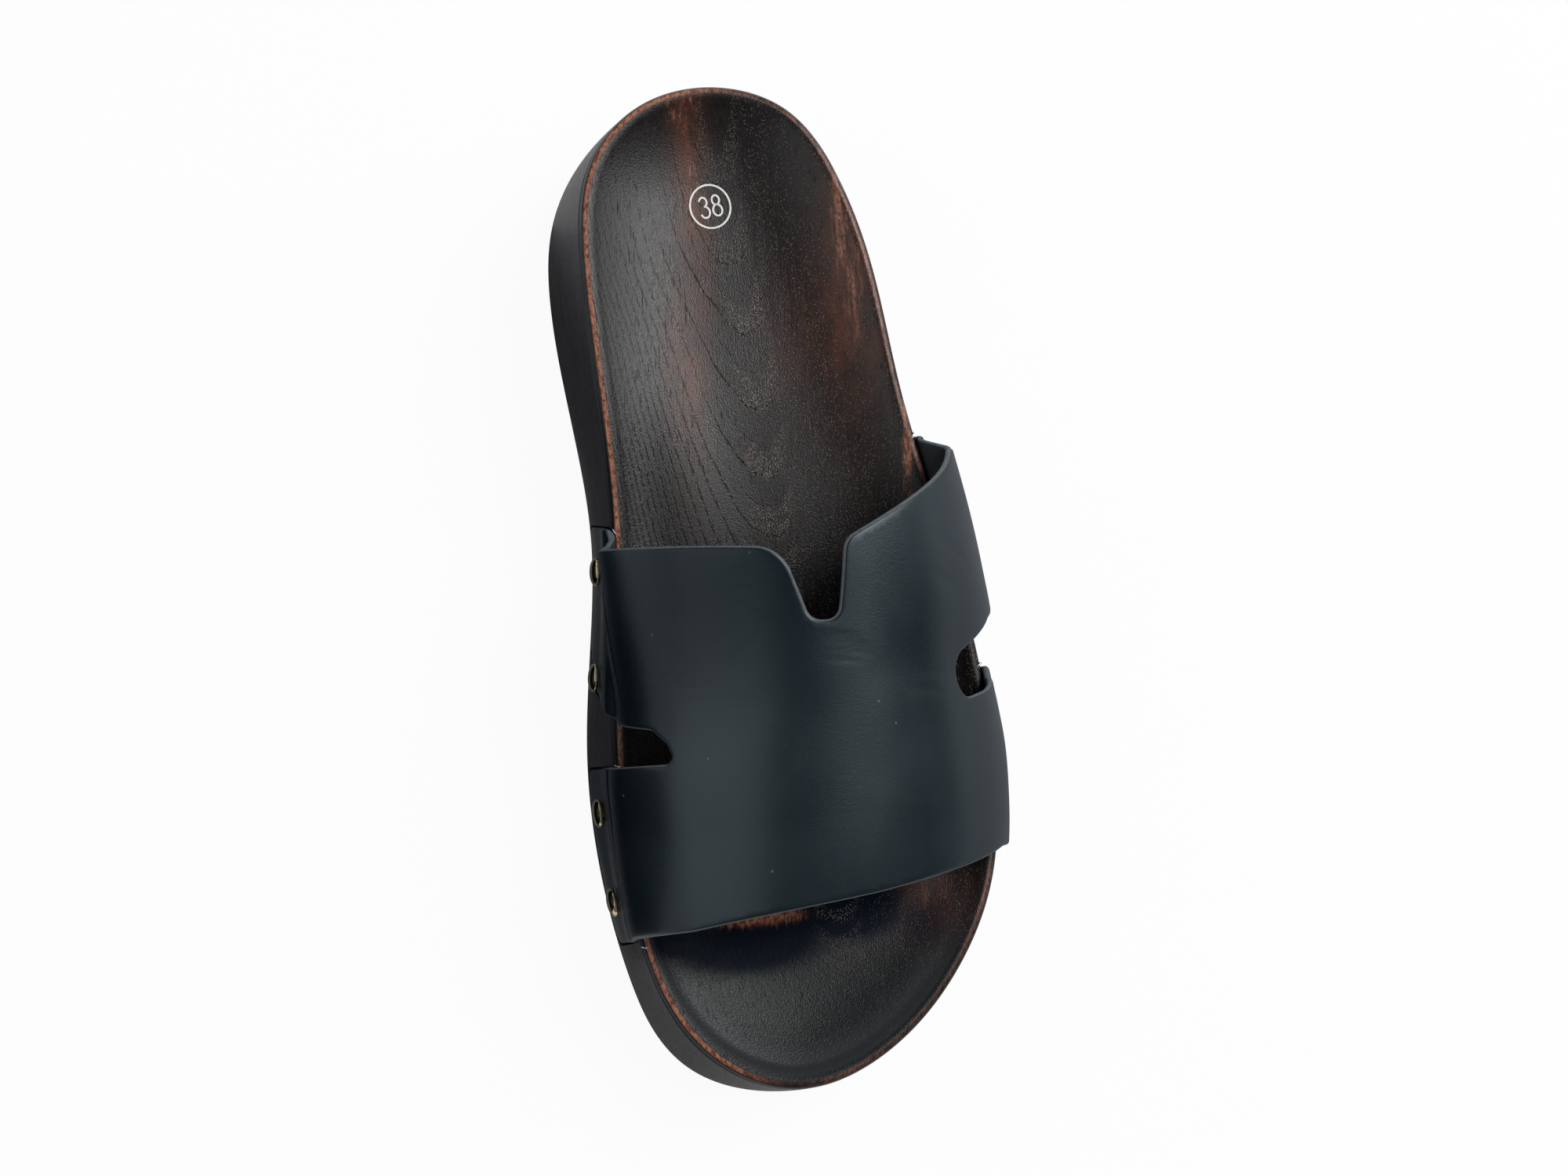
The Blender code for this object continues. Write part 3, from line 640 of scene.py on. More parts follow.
def map_sole(mesh):
    """Writes on the mesh what its finish depends on."""
    points = np.zeros(len(mesh.vertices) * 3, np.float32)
    mesh.vertices.foreach_get("co", points)
    points = points.reshape(-1, 3).astype(float) / MM + (0.0, HEEL_SEAT, 0.0)
    across, along, height = points.T
    inset = rim_inset(points)
    drop = table_value(HEIGHTS, along, 1) - height
    inset = np.where((drop > BED_REACH) | (inset < 0.0), -np.maximum(drop, 0.01), inset)
    on_bed = inset > 0
    lines, off = grain_field(across, along)
    step = 0.5
    over = grain_field(across + step, along)[0] - grain_field(across - step, along)[0]
    ahead = grain_field(across, along + step)[0] - grain_field(across, along - step)[0]
    heel = ramp(along, *HEEL_END)
    toe = ramp(along, *TOE_END)
    plain = ramp(off, *PLAIN_SIDE) * (1 - PLAIN_LESS * ramp(along, *PLAIN_END))
    pores = ramp(off, *PORE_SIDE) * on_bed
    for place, fewer in ((plain, FEWER_PLAIN), (heel, FEWER_HEEL), (toe, FEWER_TOE)):
        pores = pores * (1 - fewer * place)
    # The bead's copper share: less at the toe's middle and where the table holds it back, with painted
    # shade.
    wear = 1 - TOE_GAP * hump(across, *TOE_GAP_ACROSS) * ramp(along, *TOE_GAP_ALONG)
    for inner, outer, heel_none, heel_full, toe_none, toe_full, strength in DARK_BEAD:
        dark = ramp(along, heel_none, heel_full) * ramp(along, toe_none, toe_full)
        wear *= 1 - strength * ramp(across, inner, outer) * dark
    give_attributes(
        mesh,
        rim_inset=inset,
        grain_lines=lines,
        grain_pitch=2 * step / np.hypot(over, ahead),
        grain_off=off,
        pore_share=pores,
        rubbed=patches(RUBBED, points) * on_bed,
        reddish=patches(REDDISH, points) * on_bed,
        # shaded holds the painted shadow of the band's front edge on the toe bed.
        shaded=patches(PAINTED_SHADOW_AND_DARK_TOE, points) * on_bed,
        medial=ramp(across, *MEDIAL_SIDE),
        toe_end=toe,
        heel_end=heel,
        bead_wear=wear,
    )


map_sole(sole.data)


def linear(colour):
    """A colour given in 0 to 255 as the eye sees it, as light."""
    seen = np.array(colour) / 255.0
    light = np.where(seen <= 0.04045, seen / 12.92, ((seen + 0.055) / 1.055) ** 2.4)
    return [float(value) for value in light]


def worked_out(operation, swapped=False):
    """A step of a sum, made as a node."""

    def step(self, other=0.0):
        first, second = (other, self) if swapped else (self, other)
        return self.finish.node("Math", {0: first, 1: second}, operation=operation)

    return step


class Value:
    """What one of a finish's nodes gives, for use in sums."""

    def __init__(self, finish, socket):
        self.finish = finish
        self.socket = socket

    __add__ = worked_out("ADD")
    __sub__ = worked_out("SUBTRACT")
    __rsub__ = worked_out("SUBTRACT", swapped=True)
    __mul__ = worked_out("MULTIPLY")
    __abs__ = worked_out("ABSOLUTE")
    __round__ = worked_out("ROUND")
    larger = worked_out("MAXIMUM")

    def rise(self, low, high, start=0.0, end=1.0):
        """Eases from start to end while this value goes from low to high."""
        inputs = {"Value": self, "From Min": low, "From Max": high, "To Min": start, "To Max": end}
        return self.finish.node("MapRange", inputs, interpolation_type="SMOOTHSTEP")

    def fall(self, low, high):
        return self.rise(low, high, 1.0, 0.0)


class Finish:
    """A material's node tree, built one node at a time. Colours are in 0 to 255."""

    def __init__(self, name):
        self.material = bpy.data.materials.new(name)
        self.material.use_nodes = True
        self.tree = self.material.node_tree
        self.shader = self.tree.nodes["Principled BSDF"]

    def put(self, socket, value):
        """Links a value to a node's input, or sets the input."""
        if isinstance(value, Value):
            self.tree.links.new(value.socket, socket)
        elif socket.type == "RGBA":
            socket.default_value = (*linear(value), 1.0)
        else:
            socket.default_value = value

    def node(self, kind, inputs, output=0, **settings):
        made = self.tree.nodes.new("ShaderNode" + kind)
        for name, setting in settings.items():
            setattr(made, name, setting)
        for name, value in inputs.items():
            self.put(made.inputs[name], value)
        return Value(self, made.outputs[output])

    def surface(self, **values):
        """Sets inputs of the surface shader, by name with underscores for spaces."""
        for name, value in values.items():
            self.put(self.shader.inputs[name.replace("_", " ")], value)
        return self.material

    def attribute(self, name):
        return self.node("Attribute", {}, "Fac", attribute_name=name)

    def place(self, scale, shift):
        """Object coordinates in millimetres, times a scale for each axis."""
        start = self.node("TexCoord", {}, "Object")
        scale = [s / MM for s in scale]
        return self.node("VectorMath", {0: start, 1: scale, 2: shift}, operation="MULTIPLY_ADD")

    def noise(self, scale, shift=(0.0, 0.0, 0.0), detail=2.0, rough=0.5, distortion=0.0):
        inputs = {"Vector": self.place(scale, shift), "Scale": 1.0, "Detail": detail}
        return self.node("TexNoise", {**inputs, "Roughness": rough, "Distortion": distortion}, "Fac")

    def cells(self, scale, shift=(0.0, 0.0, 0.0)):
        """How far the nearest of scattered points is."""
        return self.node("TexVoronoi", {"Vector": self.place(scale, shift), "Scale": 1.0}, "Distance")

    def coats(self, tone, *coats):
        """A colour with others laid over it in turn, each given by its share and its colour."""
        for share, colour in coats:
            tone = self.node("Mix", {0: share, 6: tone, 7: colour}, 2, data_type="RGBA")
        return tone

    def mixed(self, share, tones):
        return self.coats(tones[0], (share, tones[1]))

    def bump(self, height, depth_mm):
        return self.node("Bump", {"Height": height, "Distance": depth_mm * MM, "Strength": 1.0})


GRAIN_TONES = ((20, 16, 15), (30, 26, 25))
RED_BROWN = (84, 46, 32)
PORE_BROWN = (13, 10, 10)
SPECK_BROWN = (128, 118, 110)
TOE_GREY = (18, 25, 28)
# painted light: a paler ring inside the toe's bead that lifts the cup wall's shade
PAINTED_LIGHT_TOE_RIM_GREY = (46, 49, 51)
# painted shadow on the toe bed under the band's front edge
PAINTED_SHADOW_BLUE = (13, 23, 35)
COPPER_TONES = ((108, 62, 47), (186, 126, 100))
WALL_TONES = ((29, 27, 30), (47, 44, 48))
PARTING_BLACK = (12, 10, 10)
GRAIN_DEPTH = 0.16


def sole_finish():
    finish = Finish("moulded_wood_grain")
    names = ("rim_inset", "grain_pitch", "grain_off", "rubbed", "reddish", "heel_end", "toe_end")
    inset, pitch, off, rubbed, reddish, heel, toe = map(finish.attribute, names)
    streak = finish.noise((1.5, 0.07, 0.8), detail=4.0, rough=0.6)
    blotch = finish.noise((0.18, 0.08, 0.1), (8.0, 2.0, 1.0), 5.0, 0.7)

    # Pore lines that follow the arches of the grain, and fainter ones half way between them.
    wander = finish.noise((0.25, 0.07, 0.2), (2.0, 7.0, 0.0), 3.0, 0.6)
    moved = (wander - 0.5) * 0.30 + finish.attribute("grain_lines")
    part = moved - round(moved)
    twice = moved * 2.0
    from_line = abs(twice - round(twice)) * (pitch * 0.5)
    jag = finish.noise((3.0, 1.1, 1.0), detail=1.0) * 0.5 + from_line
    dash = finish.noise((1.2, 0.85, 0.8), (5.0, 3.0, 0.0), 2.0, 0.6).rise(0.40, 0.54)
    fainter = abs(part).rise(0.2, 0.3, 1.0, off.rise(7.0, 12.0, 0.35, 0.0))
    pore = jag.fall(0.34, 0.60) * fainter * dash * finish.attribute("pore_share")
    # Finer straight pores between them.
    hair = finish.noise((2.6, 0.16, 1.4), (1.0, 9.0, 0.0), 3.0, 0.65).rise(0.60, 0.70)
    # Clusters of flecks inside each arch's tip.
    behind = part * pitch
    in_tip = abs(off).fall(3.6, 7.0) * behind.rise(-8.0, -4.0) * behind.fall(-0.2, 1.2)
    fleck = finish.cells((2.2, 1.6, 1.2), (4.0, 4.0, 0.0)).fall(0.28, 0.46) * in_tip
    fleck = fleck * (1.0 - toe) * (1.0 - heel * 0.7)
    # Columns of light specks, mostly on the lateral side.
    column = finish.noise((0.62, 0.02, 0.3), (7.0, 1.0, 0.0)).rise(0.32, 0.55)
    speck = finish.cells((2.0, 1.2, 1.2), (9.0, 2.0, 0.0)).fall(0.16, 0.30) * column
    speck = speck * off.rise(-6.5, -2.5, 1.0, 0.10) * (1.0 - toe * 0.8)

    # Copper, rubbed along the grain on the bed and along the top of the bead.
    thin = finish.noise((1.1, 0.05, 0.7), (2.0, 5.0, 0.0), 4.0, 0.65)
    patch = ((thin - 0.5) * 1.5 + rubbed).rise(0.10, 0.85) * rubbed.rise(0.03, 0.2)
    worn = finish.noise((0.5, 0.12, 0.5), (6.0, 6.0, 0.0), 4.0, 0.7).rise(0.34, 0.5) * 0.34
    bead = (finish.attribute("medial") * (0.88 - worn) + worn) * finish.attribute("bead_wear")
    bead = bead * inset.rise(0.5, 0.9) * inset.fall(1.5, 2.1) * thin.rise(0.25, 0.5, 0.72, 1.0)
    copper = patch.larger(bead)
    mottle = finish.noise((1.3, 0.7, 1.3), (3.0, 1.0, 3.0), 2.0, 0.7).rise(0.34, 0.62)

    # The side wall: the same brown with long fine grain, and the dark parting line.
    wall_grain = finish.noise((0.8, 0.045, 1.3), (3.0, 3.0, 8.0), 5.0, 0.62)
    on_wall = inset.fall(-0.25, 0.0)
    parting = abs(inset + PARTING_HEIGHT).fall(0.15, 0.42)

    # Painted shadow of the band's front edge on the toe bed: a dark blue colour and less shine.
    shaded = finish.attribute("shaded").rise(0.35, 0.75)
    tone = finish.coats(
        finish.mixed(streak.rise(0.35, 0.68), GRAIN_TONES),
        (reddish * blotch.rise(0.36, 0.6, 0.35, 1.0), RED_BROWN),
        (hair * 0.35, PORE_BROWN),
        (pore * 0.6, PORE_BROWN),
        (toe * 0.6, TOE_GREY),
        # Painted light: a paler grey ring just inside the toe's bead, lifting the shade of the cup's
        # wall.
        (inset.rise(2.4, 3.6) * inset.fall(4.6, 13.0) * toe, PAINTED_LIGHT_TOE_RIM_GREY),
        (reddish * toe, RED_BROWN),
        (shaded * 0.9, PAINTED_SHADOW_BLUE),
        (speck * 0.6, SPECK_BROWN),
        (fleck * 0.9, SPECK_BROWN),
        (copper, finish.mixed(mottle, COPPER_TONES)),
        (on_wall, finish.mixed(wall_grain.rise(0.34, 0.68), WALL_TONES)),
        (parting * 0.85, PARTING_BLACK),
    )
    pit = pore.larger(hair)
    shine = (pit * -0.20 + 0.38) * (1.0 - shaded * 0.85) * (1.0 - toe * 0.42)
    rough = streak.rise(0.3, 0.7, 0.27, 0.32) + on_wall * 0.12 + pit * 0.18 - copper * 0.06
    stipple = finish.noise((3.2, 2.2, 2.4), (6.0, 6.0, 6.0), detail=1.0)
    relief = stipple * 0.55 + streak * 0.14 + fleck * 0.9 + speck * 0.55 - pore * 0.5 - hair * 0.12
    relief = relief * inset.rise(0.2, 3.2, 0.3, 1.0) + wall_grain * on_wall * 0.8
    return finish.surface(
        Base_Color=tone,
        Roughness=rough,
        Specular_IOR_Level=shine,
        Normal=finish.bump(relief, GRAIN_DEPTH),
    )


sole.data.materials.clear()
sole.data.materials.append(sole_finish())
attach(sole, "root")
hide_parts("sole")

# --- size mark --------------------------------------------
# A plain size number in a ring, printed in white on the heel seat. The print is a thin film of paint
# that lies on the footbed's grain.

MARK_PLACE = (1.8, 29.7)  # across, along
MARK_TURN = 10.0  # degrees
STROKE = 0.47
PAINT = 0.06
PAINT_STEP = 0.2
MARK_SHARP = 50.0
PRINT_TONES = ((226, 224, 220), (250, 249, 246))
DROP_FROM = 0.2  # metres above the floor
# The ring and each stroke: centre across and up, radii across and up, start and end angle in degrees
STROKES = (
    (0.00, 0.00, 5.35, 5.75, 0, 360),
    (-1.70, 1.50, 1.00, 1.25, 165, -88),
    (-1.60, -1.25, 1.20, 1.50, 88, -165),
    (1.75, 1.50, 0.97, 1.25, 0, 360),
    (1.75, -1.25, 1.20, 1.50, 0, 360),
)


sole_tree = BVHTree.FromObject(sole, bpy.context.evaluated_depsgraph_get())


def sole_top(across, along):
    """The height in millimetres of the sole at a point seen from above."""
    start = Vector((across * MM, (along - HEEL_SEAT) * MM, DROP_FROM))
    return sole_tree.ray_cast(start, Vector((0.0, 0.0, -1.0)))[0].z / MM


def cos_sin(degrees):
    return np.cos(np.radians(degrees)), np.sin(np.radians(degrees))


def joined(parts):
    """Several pieces' points and faces as one."""
    points = []
    faces = []
    for made, polygons in parts:
        faces += [tuple(i + len(points) for i in polygon) for polygon in polygons]
        points += list(made)
    return points, faces


def painted_stroke(x, y, across_radius, up_radius, start, end):
    """A film of paint along an arc: its rows of points, taken round it, and its faces."""
    span = abs(end - start)
    closed = span >= 360.0
    steps = max(12, int(np.radians(span) * max(across_radius, up_radius) / PAINT_STEP))
    angles = np.radians(np.linspace(start, end, steps, endpoint=not closed))
    cos, sin = cos_sin(MARK_TURN)
    rows = []
    for reach in (-STROKE / 2, -STROKE / 6, STROKE / 6, STROKE / 2):
        right = x + (across_radius + reach) * np.cos(angles)
        up = y + (up_radius + reach) * np.sin(angles)
        across = MARK_PLACE[0] - right * cos + up * sin
        along = MARK_PLACE[1] - right * sin - up * cos
        bed = [sole_top(*spot) for spot in zip(across, along)]
        rows.append(np.column_stack([across, along, bed]))
    rows = [row + (0.0, 0.0, PAINT) for row in rows] + [row - (0.0, 0.0, PAINT) for row in rows[::-1]]
    if end > start:
        rows = rows[::-1]
    firsts = [k * steps for k in range(len(rows))]
    faces = []
    for first, second in zip(firsts, firsts[1:] + firsts[:1]):
        faces += join_rings(first, second, steps, closed)
    if not closed:
        faces += [tuple(firsts), tuple(first + steps - 1 for first in firsts[::-1])]
    return np.concatenate(rows), faces


def paint_finish():
    finish = Finish("white_print")
    wear = finish.noise((1.4, 1.0, 1.0), detail=3.0, rough=0.6)
    tone = finish.mixed(wear.rise(0.3, 0.7), PRINT_TONES)
    return finish.surface(Base_Color=tone, Roughness=wear.rise(0.3, 0.7, 0.5, 0.62))


size_mark = new_piece("size_mark", *joined(painted_stroke(*row) for row in STROKES), MARK_SHARP)
size_mark.data.materials.append(paint_finish())
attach(size_mark, "root")

# --- tread ------------------------------------------------
# Ribs moulded across the underside for grip, in one field under the heel and one under the forefoot.

RIB_PITCH = 4.2
RIB_WIDTH = 2.0
RIB_FIELDS = ((12.0, 78.0), (150.0, 236.0))  # along
# A rib's section, in widths along and millimetres up, and how it narrows towards its ends
RIB_PROFILE = ((-0.5, 1.6), (-0.42, 0.25), (-0.3, 0.0), (0.3, 0.0), (0.42, 0.25), (0.5, 1.6))
RIB_ENDS = ((-1.0, 0.86), (-0.985, 1.0), (0.985, 1.0), (1.0, 0.86))
RIB_END_RISE = 0.8
TREAD_TONES = ((30, 26, 25), (48, 43, 41))


def rib_rows():
    """Each rib's middle, half length and height above the floor."""
    sides = two_sides(foot_line - rim_normal * TREAD_BORDER)
    rows = []
    for start, end in RIB_FIELDS:
        for along in np.arange(start, end, RIB_PITCH):
            high, low = (np.interp(along, sides[side][:, 1], sides[side][:, 0]) for side in (1, -1))
            rows.append(((high + low) / 2, along, float(tread_height(along)), (high - low) / 2))
    return np.array(rows)


def unit_rib():
    """A rib of half length 1 along X, with rounded shoulders. Its tip is at height 0."""
    points = []
    for x, narrow in RIB_ENDS:
        for y, z in RIB_PROFILE:
            points.append((x, y * narrow, z + (1.0 - narrow) * RIB_END_RISE))
    n = len(RIB_PROFILE)
    faces = ring_faces(n, len(RIB_ENDS))
    faces.append(tuple(range(n))[::-1])
    faces.append(tuple(range(len(points) - n, len(points))))
    return bpy.data.objects.new("rib", new_mesh("rib", points, faces))


def repeat_tree(name, material):
    """Geometry Nodes that set a copy of the pattern piece on every point, turned along the point's
    "facing" and sized by its "size" times the input."""
    tree = bpy.data.node_groups.new(name, "GeometryNodeTree")
    for label, kind in (("Points", "Geometry"), ("Pattern", "Object"), ("Unit", "Float")):
        tree.interface.new_socket(label, in_out="INPUT", socket_type="NodeSocket" + kind)
    tree.interface.new_socket("Pieces", in_out="OUTPUT", socket_type="NodeSocketGeometry")
    add = tree.nodes.new
    given = add("NodeGroupInput")
    made = add("NodeGroupOutput")
    pattern = add("GeometryNodeObjectInfo")
    facing = add("GeometryNodeInputNamedAttribute")
    size = add("GeometryNodeInputNamedAttribute")
    for node, label in ((facing, "facing"), (size, "size")):
        node.data_type = "FLOAT_VECTOR"
        node.inputs["Name"].default_value = label
    scaled = add("ShaderNodeVectorMath")
    scaled.operation = "SCALE"
    turned = add("FunctionNodeAlignRotationToVector")
    turned.axis = "Z"
    copies = add("GeometryNodeInstanceOnPoints")
    real = add("GeometryNodeRealizeInstances")
    coat = add("GeometryNodeSetMaterial")
    coat.inputs["Material"].default_value = material
    for start, output, end, input_name in (
        (given, "Points", copies, "Points"),
        (given, "Pattern", pattern, "Object"),
        (pattern, "Geometry", copies, "Instance"),
        (facing, "Attribute", turned, "Vector"),
        (turned, "Rotation", copies, "Rotation"),
        (size, "Attribute", scaled, 0),
        (given, "Unit", scaled, "Scale"),
        (scaled, 0, copies, "Scale"),
        (copies, "Instances", real, "Geometry"),
        (real, "Geometry", coat, "Geometry"),
        (coat, "Geometry", made, "Pieces"),
    ):
        tree.links.new(start.outputs[output], end.inputs[input_name])
    return tree


def repeated(name, places, facings, sizes, pattern, material):
    """A plain mesh of copies of the pattern at places in millimetres along from the back of the rim."""
    holder = new_piece(name, places, [])
    for label, values in (("facing", facings), ("size", sizes)):
        made = holder.data.attributes.new(label, "FLOAT_VECTOR", "POINT")
        made.data.foreach_set("vector", np.asarray(values, np.float32).ravel())
    modifier = holder.modifiers.new(name, "NODES")
    modifier.node_group = repeat_tree(name, material)
    given = {"Pattern": pattern, "Unit": MM}
    for item in modifier.node_group.interface.items_tree:
        if item.name in given:
            modifier[item.identifier] = given[item.name]
    apply_modifiers(holder)
    holder.data.name = name
    bpy.data.objects.remove(pattern)
    return holder


def tread_finish():
    finish = Finish("tread_rubber")
    scuff = finish.noise((0.4, 0.25, 0.4), detail=4.0, rough=0.6)
    return finish.surface(
        Base_Color=finish.mixed(scuff.rise(0.35, 0.65), TREAD_TONES),
        Roughness=scuff.rise(0.3, 0.7, 0.55, 0.75),
        Normal=finish.bump(finish.noise((2.2, 2.2, 2.2)), 0.05),
    )


ribs = rib_rows()
ones = np.ones(len(ribs))
rib_sizes = np.column_stack([ribs[:, 3], RIB_WIDTH * ones, ones])
upright = np.tile((0.0, 0.0, 1.0), (len(ribs), 1))
tread = repeated("tread_ribs", ribs[:, :3], upright, rib_sizes, unit_rib(), tread_finish())
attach(tread, "root")

# --- upper ------------------------------------------------
# One wide band of smooth black leather, 2 mm thick, open at heel and toe. It is cut in one piece, its
# cut edges are rounded and painted grey-black, shown lighter grey as a painted highlight, and its four
# legs are nailed into the side wall.

EDGE_SPACING = 0.8
GRID_SPACING = 0.9
EDGE_ROUND = 0.95
EDGE_TURNS = (62.0, 34.0, 10.0, -14.0, -40.0, -65.0)  # degrees round the cut edge
GRID_CLEAR = 0.7  # between the grid and the edge, in grid spacings
LEATHER_DEPTH = 0.045  # of its grain
LEATHER_TONES = ((4, 17, 24), (6, 22, 30))
# painted highlight on the black
PAINTED_HIGHLIGHT_GREY = (30, 40, 45)
DUST_GREY = (120, 120, 118)
INNER_TONES = ((10, 11, 15), (22, 23, 29))
EDGE_PAINT_AND_HIGHLIGHT_TONES = ((72, 79, 83), (94, 101, 105))
SHEEN_TINT = (233.65, 249.31, 255.0)
FOLD_PRESS = 1.9  # the folds' depths below, all made this much deeper
INNER_FOLD = 0.35  # share of a fold's depth that shows on the inner face
EDGE_SHOW = 1.9  # how much of the cut edge takes its grey, paint and painted highlight
LEG_FROM = (85.5, 88.5)  # girth, where the edge's grey, paint and painted highlight, thins out down the legs
LEG_PAINT = 0.8
EDGE_LOW = 0.3  # share of the leather's thickness that shows as its inner face on the edge
LEATHER_SHARP = 75.0

# Soft folds and ridges, each along a bowed line on the flat band.
# girth, along, direction in degrees, length, half width, bow, depth (negative stands proud)
FOLDS = (
    (15.5, 130.8, -3, 13, 0.50, 0.5, 0.05),
    (16.5, 132.4, -2, 17, 0.50, 0.7, 0.07),
    (17.5, 133.9, -1, 20, 0.50, 0.8, 0.09),
    (16, 135.5, 0, 22, 0.52, 0.9, 0.09),
    (17, 137, 1, 21, 0.50, 0.9, 0.10),
    (15.5, 138.6, 2, 20, 0.52, 0.8, 0.08),
    (16.5, 140.2, 3, 18, 0.52, 0.8, 0.08),
    (14, 141.9, 5, 15, 0.55, 0.6, 0.06),
    (13, 143.8, 7, 12, 0.60, 0.5, 0.05),
    (-2, 149, -6, 13, 0.55, 0.6, 0.05),
    (-3, 150.9, -8, 15, 0.55, 0.7, 0.06),
    (-3.5, 152.8, -6, 15, 0.60, 0.7, 0.06),
    (-2.5, 154.8, -4, 13, 0.60, 0.6, 0.05),
    (33, 158.8, -4, 24, 0.90, 0.8, 0.07),
    (30, 161.8, -1, 28, 0.90, 0.9, 0.09),
    (27, 164.6, 2, 26, 0.95, 0.9, 0.08),
    (24, 167.6, 5, 22, 1.00, 0.8, 0.07),
    (25, 172.6, 9, 20, 1.10, 0.7, 0.06),
    (27, 148, 32, 16, 0.90, 0.6, 0.05),
    (22, 151.5, 36, 15, 0.90, 0.6, 0.05),
    (-27, 158, 6, 14, 1.10, 0.5, 0.05),
    (-25, 162.6, -4, 15, 1.10, 0.5, 0.05),
    (45, 141, 12, 22, 1.40, 0.9, 0.06),
    (-40, 128, -20, 24, 1.70, 1.2, 0.06),
    (-34, 136, -14, 20, 1.60, 1, 0.06),
    (73.5, 142, 110, 48, 0.55, -1.2, -0.16),
)
# Painted highlights, paler patches on the black: girth, along, half girth, half along, strength
PAINTED_HIGHLIGHTS = (
    (22, 177, 30, 15, 1),
    (-14, 176, 30, 14, 0.75),
    (20, 200, 46, 12, 0.75),
    (-30, 118, 16, 14, 0.5),
)
# Where it has stayed matt: girth, along, half girth, half along, strength
MATT = ((28.0, 138.0, 21.0, 20.0, 0.40),)
# Broad shallow hollows: girth, along, half girth, half along, depth
HOLLOWS = (
    (24, 138, 22, 13, 0.55),
    (34, 158, 20, 9, 0.45),
    (-28, 146, 20, 12, 0.35),
    (10, 196, 30, 12, -0.35),
)


def fold_depth(flat):
    """How far the outer face is pressed in at each place on the flat band, in millimetres."""
    girth = flat[:, 0]
    along = flat[:, 1]
    found = np.zeros(len(flat))
    for x, y, direction, length, half_width, bow, depth in FOLDS:
        cos, sin = cos_sin(direction)
        on = ((girth - x) * cos + (along - y) * sin) / (length / 2)
        off = -(girth - x) * sin + (along - y) * cos - bow * on**2
        fade = np.clip(1 - on**2, 0, 1) ** 1.5
        found += FOLD_PRESS * depth * fade * hump(off, 0.0, half_width)
    for x, y, half_girth, half_along, depth in HOLLOWS:
        found += depth * hump(girth, x, half_girth) * hump(along, y, half_along)
    return found


def make_upper():
    edge = rounded(PATTERN, EDGE_SPACING)
    inward = outward(edge)
    flat, faces = filled_outline(edge + inward * EDGE_ROUND, GRID_SPACING, GRID_SPACING * GRID_CLEAR)
    count = len(flat)
    border = len(edge)
    # place on the flat band, share of the leather's thickness, share of painted edge
    rows = [(flat, 1.0, 0.0), (flat, 0.0, 0.0)]
    for turned in np.radians(EDGE_TURNS):
        ring = edge + inward * EDGE_ROUND * (1 - np.cos(turned))
        rows.append((ring, (1 + np.sin(turned)) / 2, ease(EDGE_SHOW * (1 - abs(np.sin(turned))))))
    points = []
    cut_edge = []
    inner_face = []
    for place, share, painted in rows:
        lift = LEATHER * share - fold_depth(place) * (INNER_FOLD + (1 - INNER_FOLD) * share)
        points.append(band_surface(place) + band_normal(place) * lift[:, None])
        cut_edge.append(painted * (1 - LEG_PAINT * ramp(np.abs(place[:, 0]), *LEG_FROM)))
        inner_face.append(np.full(len(place), max(0.0, EDGE_LOW - share) if painted else 1.0 - share))
    faces = faces.tolist() + (faces[:, ::-1] + count).tolist()
    rings = [0] + [2 * count + k * border for k in range(len(EDGE_TURNS))] + [count]
    for upper_ring, lower_ring in zip(rings[:-1], rings[1:]):
        faces += join_rings(upper_ring, lower_ring, border)
    piece = new_piece("leather_band", np.concatenate(points), faces, LEATHER_SHARP)
    places = np.concatenate([place for place, share, painted in rows])
    give_attributes(
        piece.data,
        cut_edge=np.concatenate(cut_edge),
        inner_face=np.concatenate(inner_face),
        bloom=patches(PAINTED_HIGHLIGHTS, places),
        matt=patches(MATT, places),
    )
    return piece


def leather_finish():
    finish = Finish("black_leather")
    edge = finish.attribute("cut_edge").rise(0.15, 0.6)
    inner = finish.attribute("inner_face").rise(0.35, 0.65)
    cloud = finish.noise((0.045, 0.03, 0.045), (2.0, 4.0, 0.0), 3.0, 0.55)
    fibre = finish.noise((1.2, 0.9, 1.2), detail=4.0, rough=0.7)
    fibrous = fibre.rise(0.3, 0.7)
    fleck = finish.cells((0.11, 0.11, 0.11)).fall(0.025, 0.045)
    tone = finish.coats(
        finish.mixed(cloud.rise(0.3, 0.7), LEATHER_TONES),
        # Painted highlights: the black turned a paler grey in broad patches.
        (finish.attribute("bloom") * cloud.rise(0.2, 0.7, 0.75, 1.0), PAINTED_HIGHLIGHT_GREY),
        (fleck * 0.5, DUST_GREY),
        (inner, finish.mixed(fibrous, INNER_TONES)),
        # The cut edge: grey paint, lighter still as a painted highlight on its rounding.
        (edge, finish.mixed(fibrous, EDGE_PAINT_AND_HIGHLIGHT_TONES)),
    )
    pebble = finish.cells((2.3, 2.3, 2.3)).rise(0.0, 0.55)
    wrinkle = finish.noise((0.55, 1.5, 0.8), (1.0, 6.0, 2.0), 4.0, 0.6, 0.6)
    wrinkled = finish.noise((0.03, 0.035, 0.03), (5.0, 1.0, 0.0), 1.0).rise(0.42, 0.62)
    grain = pebble * 0.25 + wrinkle * wrinkled * 0.8 + fibre * inner * 1.6
    return finish.surface(
        Base_Color=tone,
        Roughness=cloud.rise(0.3, 0.7, 0.32, 0.38) + inner * 0.42 + edge * 0.14,
        Specular_IOR_Level=finish.attribute("matt") * -0.62 + 0.62,
        Specular_Tint=SHEEN_TINT,
        Normal=finish.bump(grain, LEATHER_DEPTH),
    )


